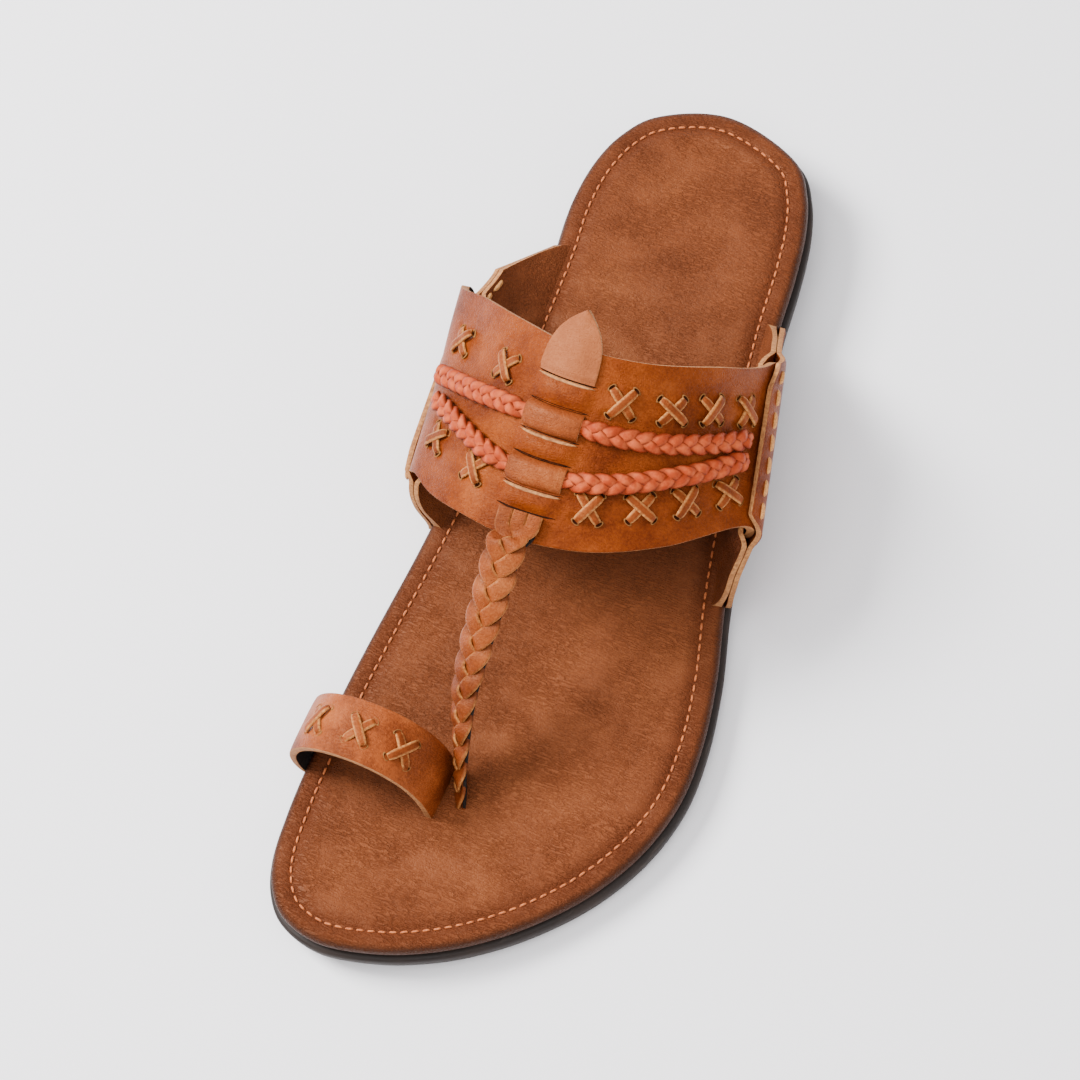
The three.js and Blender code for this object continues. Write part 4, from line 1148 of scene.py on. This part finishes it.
# Floor, camera and light
def make_floor():
    mesh = bpy.data.meshes.new("floor")
    corners = [(x * FLOOR_HALF, y * FLOOR_HALF, 0) for x, y in ((-1, -1), (1, -1), (1, 1), (-1, 1))]
    mesh.from_pydata(corners, [], [(0, 1, 2, 3)])
    p = Paint("pale floor")
    p.set(Base_Color=srgb(*FLOOR), Roughness=0.75)
    mesh.materials.append(p.material)
    linked("floor", mesh)


def make_camera_and_lights():
    at, aim, up = (Vector(v) for v in (CAMERA_AT, CAMERA_AIM, CAMERA_UP))
    ahead = (aim - at).normalized()
    right = ahead.cross(up).normalized()
    above = right.cross(ahead)
    data = bpy.data.cameras.new("camera")
    data.lens, data.sensor_width = CAMERA_LENS, CAMERA_SENSOR
    data.clip_start, data.clip_end = 0.01, 20.0
    camera = linked("camera", data)
    turn = Matrix((right, above, -ahead)).transposed().to_4x4()
    camera.matrix_world = Matrix.Translation(Vector(placed(CAMERA_AT))) @ turn
    bpy.context.scene.camera = camera
    centre = Vector(placed(CAMERA_AIM))
    for name, across, upward, back, size, power in LIGHTS:
        light = bpy.data.lights.new(name, "AREA")
        light.size, light.energy = size, power
        place = centre + right * across + above * upward - ahead * back
        facing = (place - centre).to_track_quat("Z", "Y").to_matrix().to_4x4()
        linked(name, light).matrix_world = Matrix.Translation(place) @ facing


def make_sky():
    world = bpy.data.worlds.new("studio")
    bpy.context.scene.world = world
    world.use_nodes = True
    background = world.node_tree.nodes["Background"]
    background.inputs["Color"].default_value = srgb(*SKY)
    background.inputs["Strength"].default_value = SKY_STRENGTH


make_outsole()
make_heel()
make_footbed()
make_ears()
make_band()
make_keepers()
make_leaf()
make_strip_under()
make_slits()
make_cords()
make_braid()
loop_line, loop_normal = make_loop()
stitch_piece = unit_piece("stitch_piece", 9, 8, stitch_profile)
thong_piece = unit_piece("thong_piece", 15, 10, thong_profile)
punch_piece = slot_piece()
make_footbed_stitches(stitch_piece)
make_ear_stitches(stitch_piece)
make_crosses(thong_piece, punch_piece, loop_line, loop_normal)
for piece in (stitch_piece, thong_piece, punch_piece):
    bpy.data.objects.remove(piece)
make_floor()
make_camera_and_lights()
make_sky()
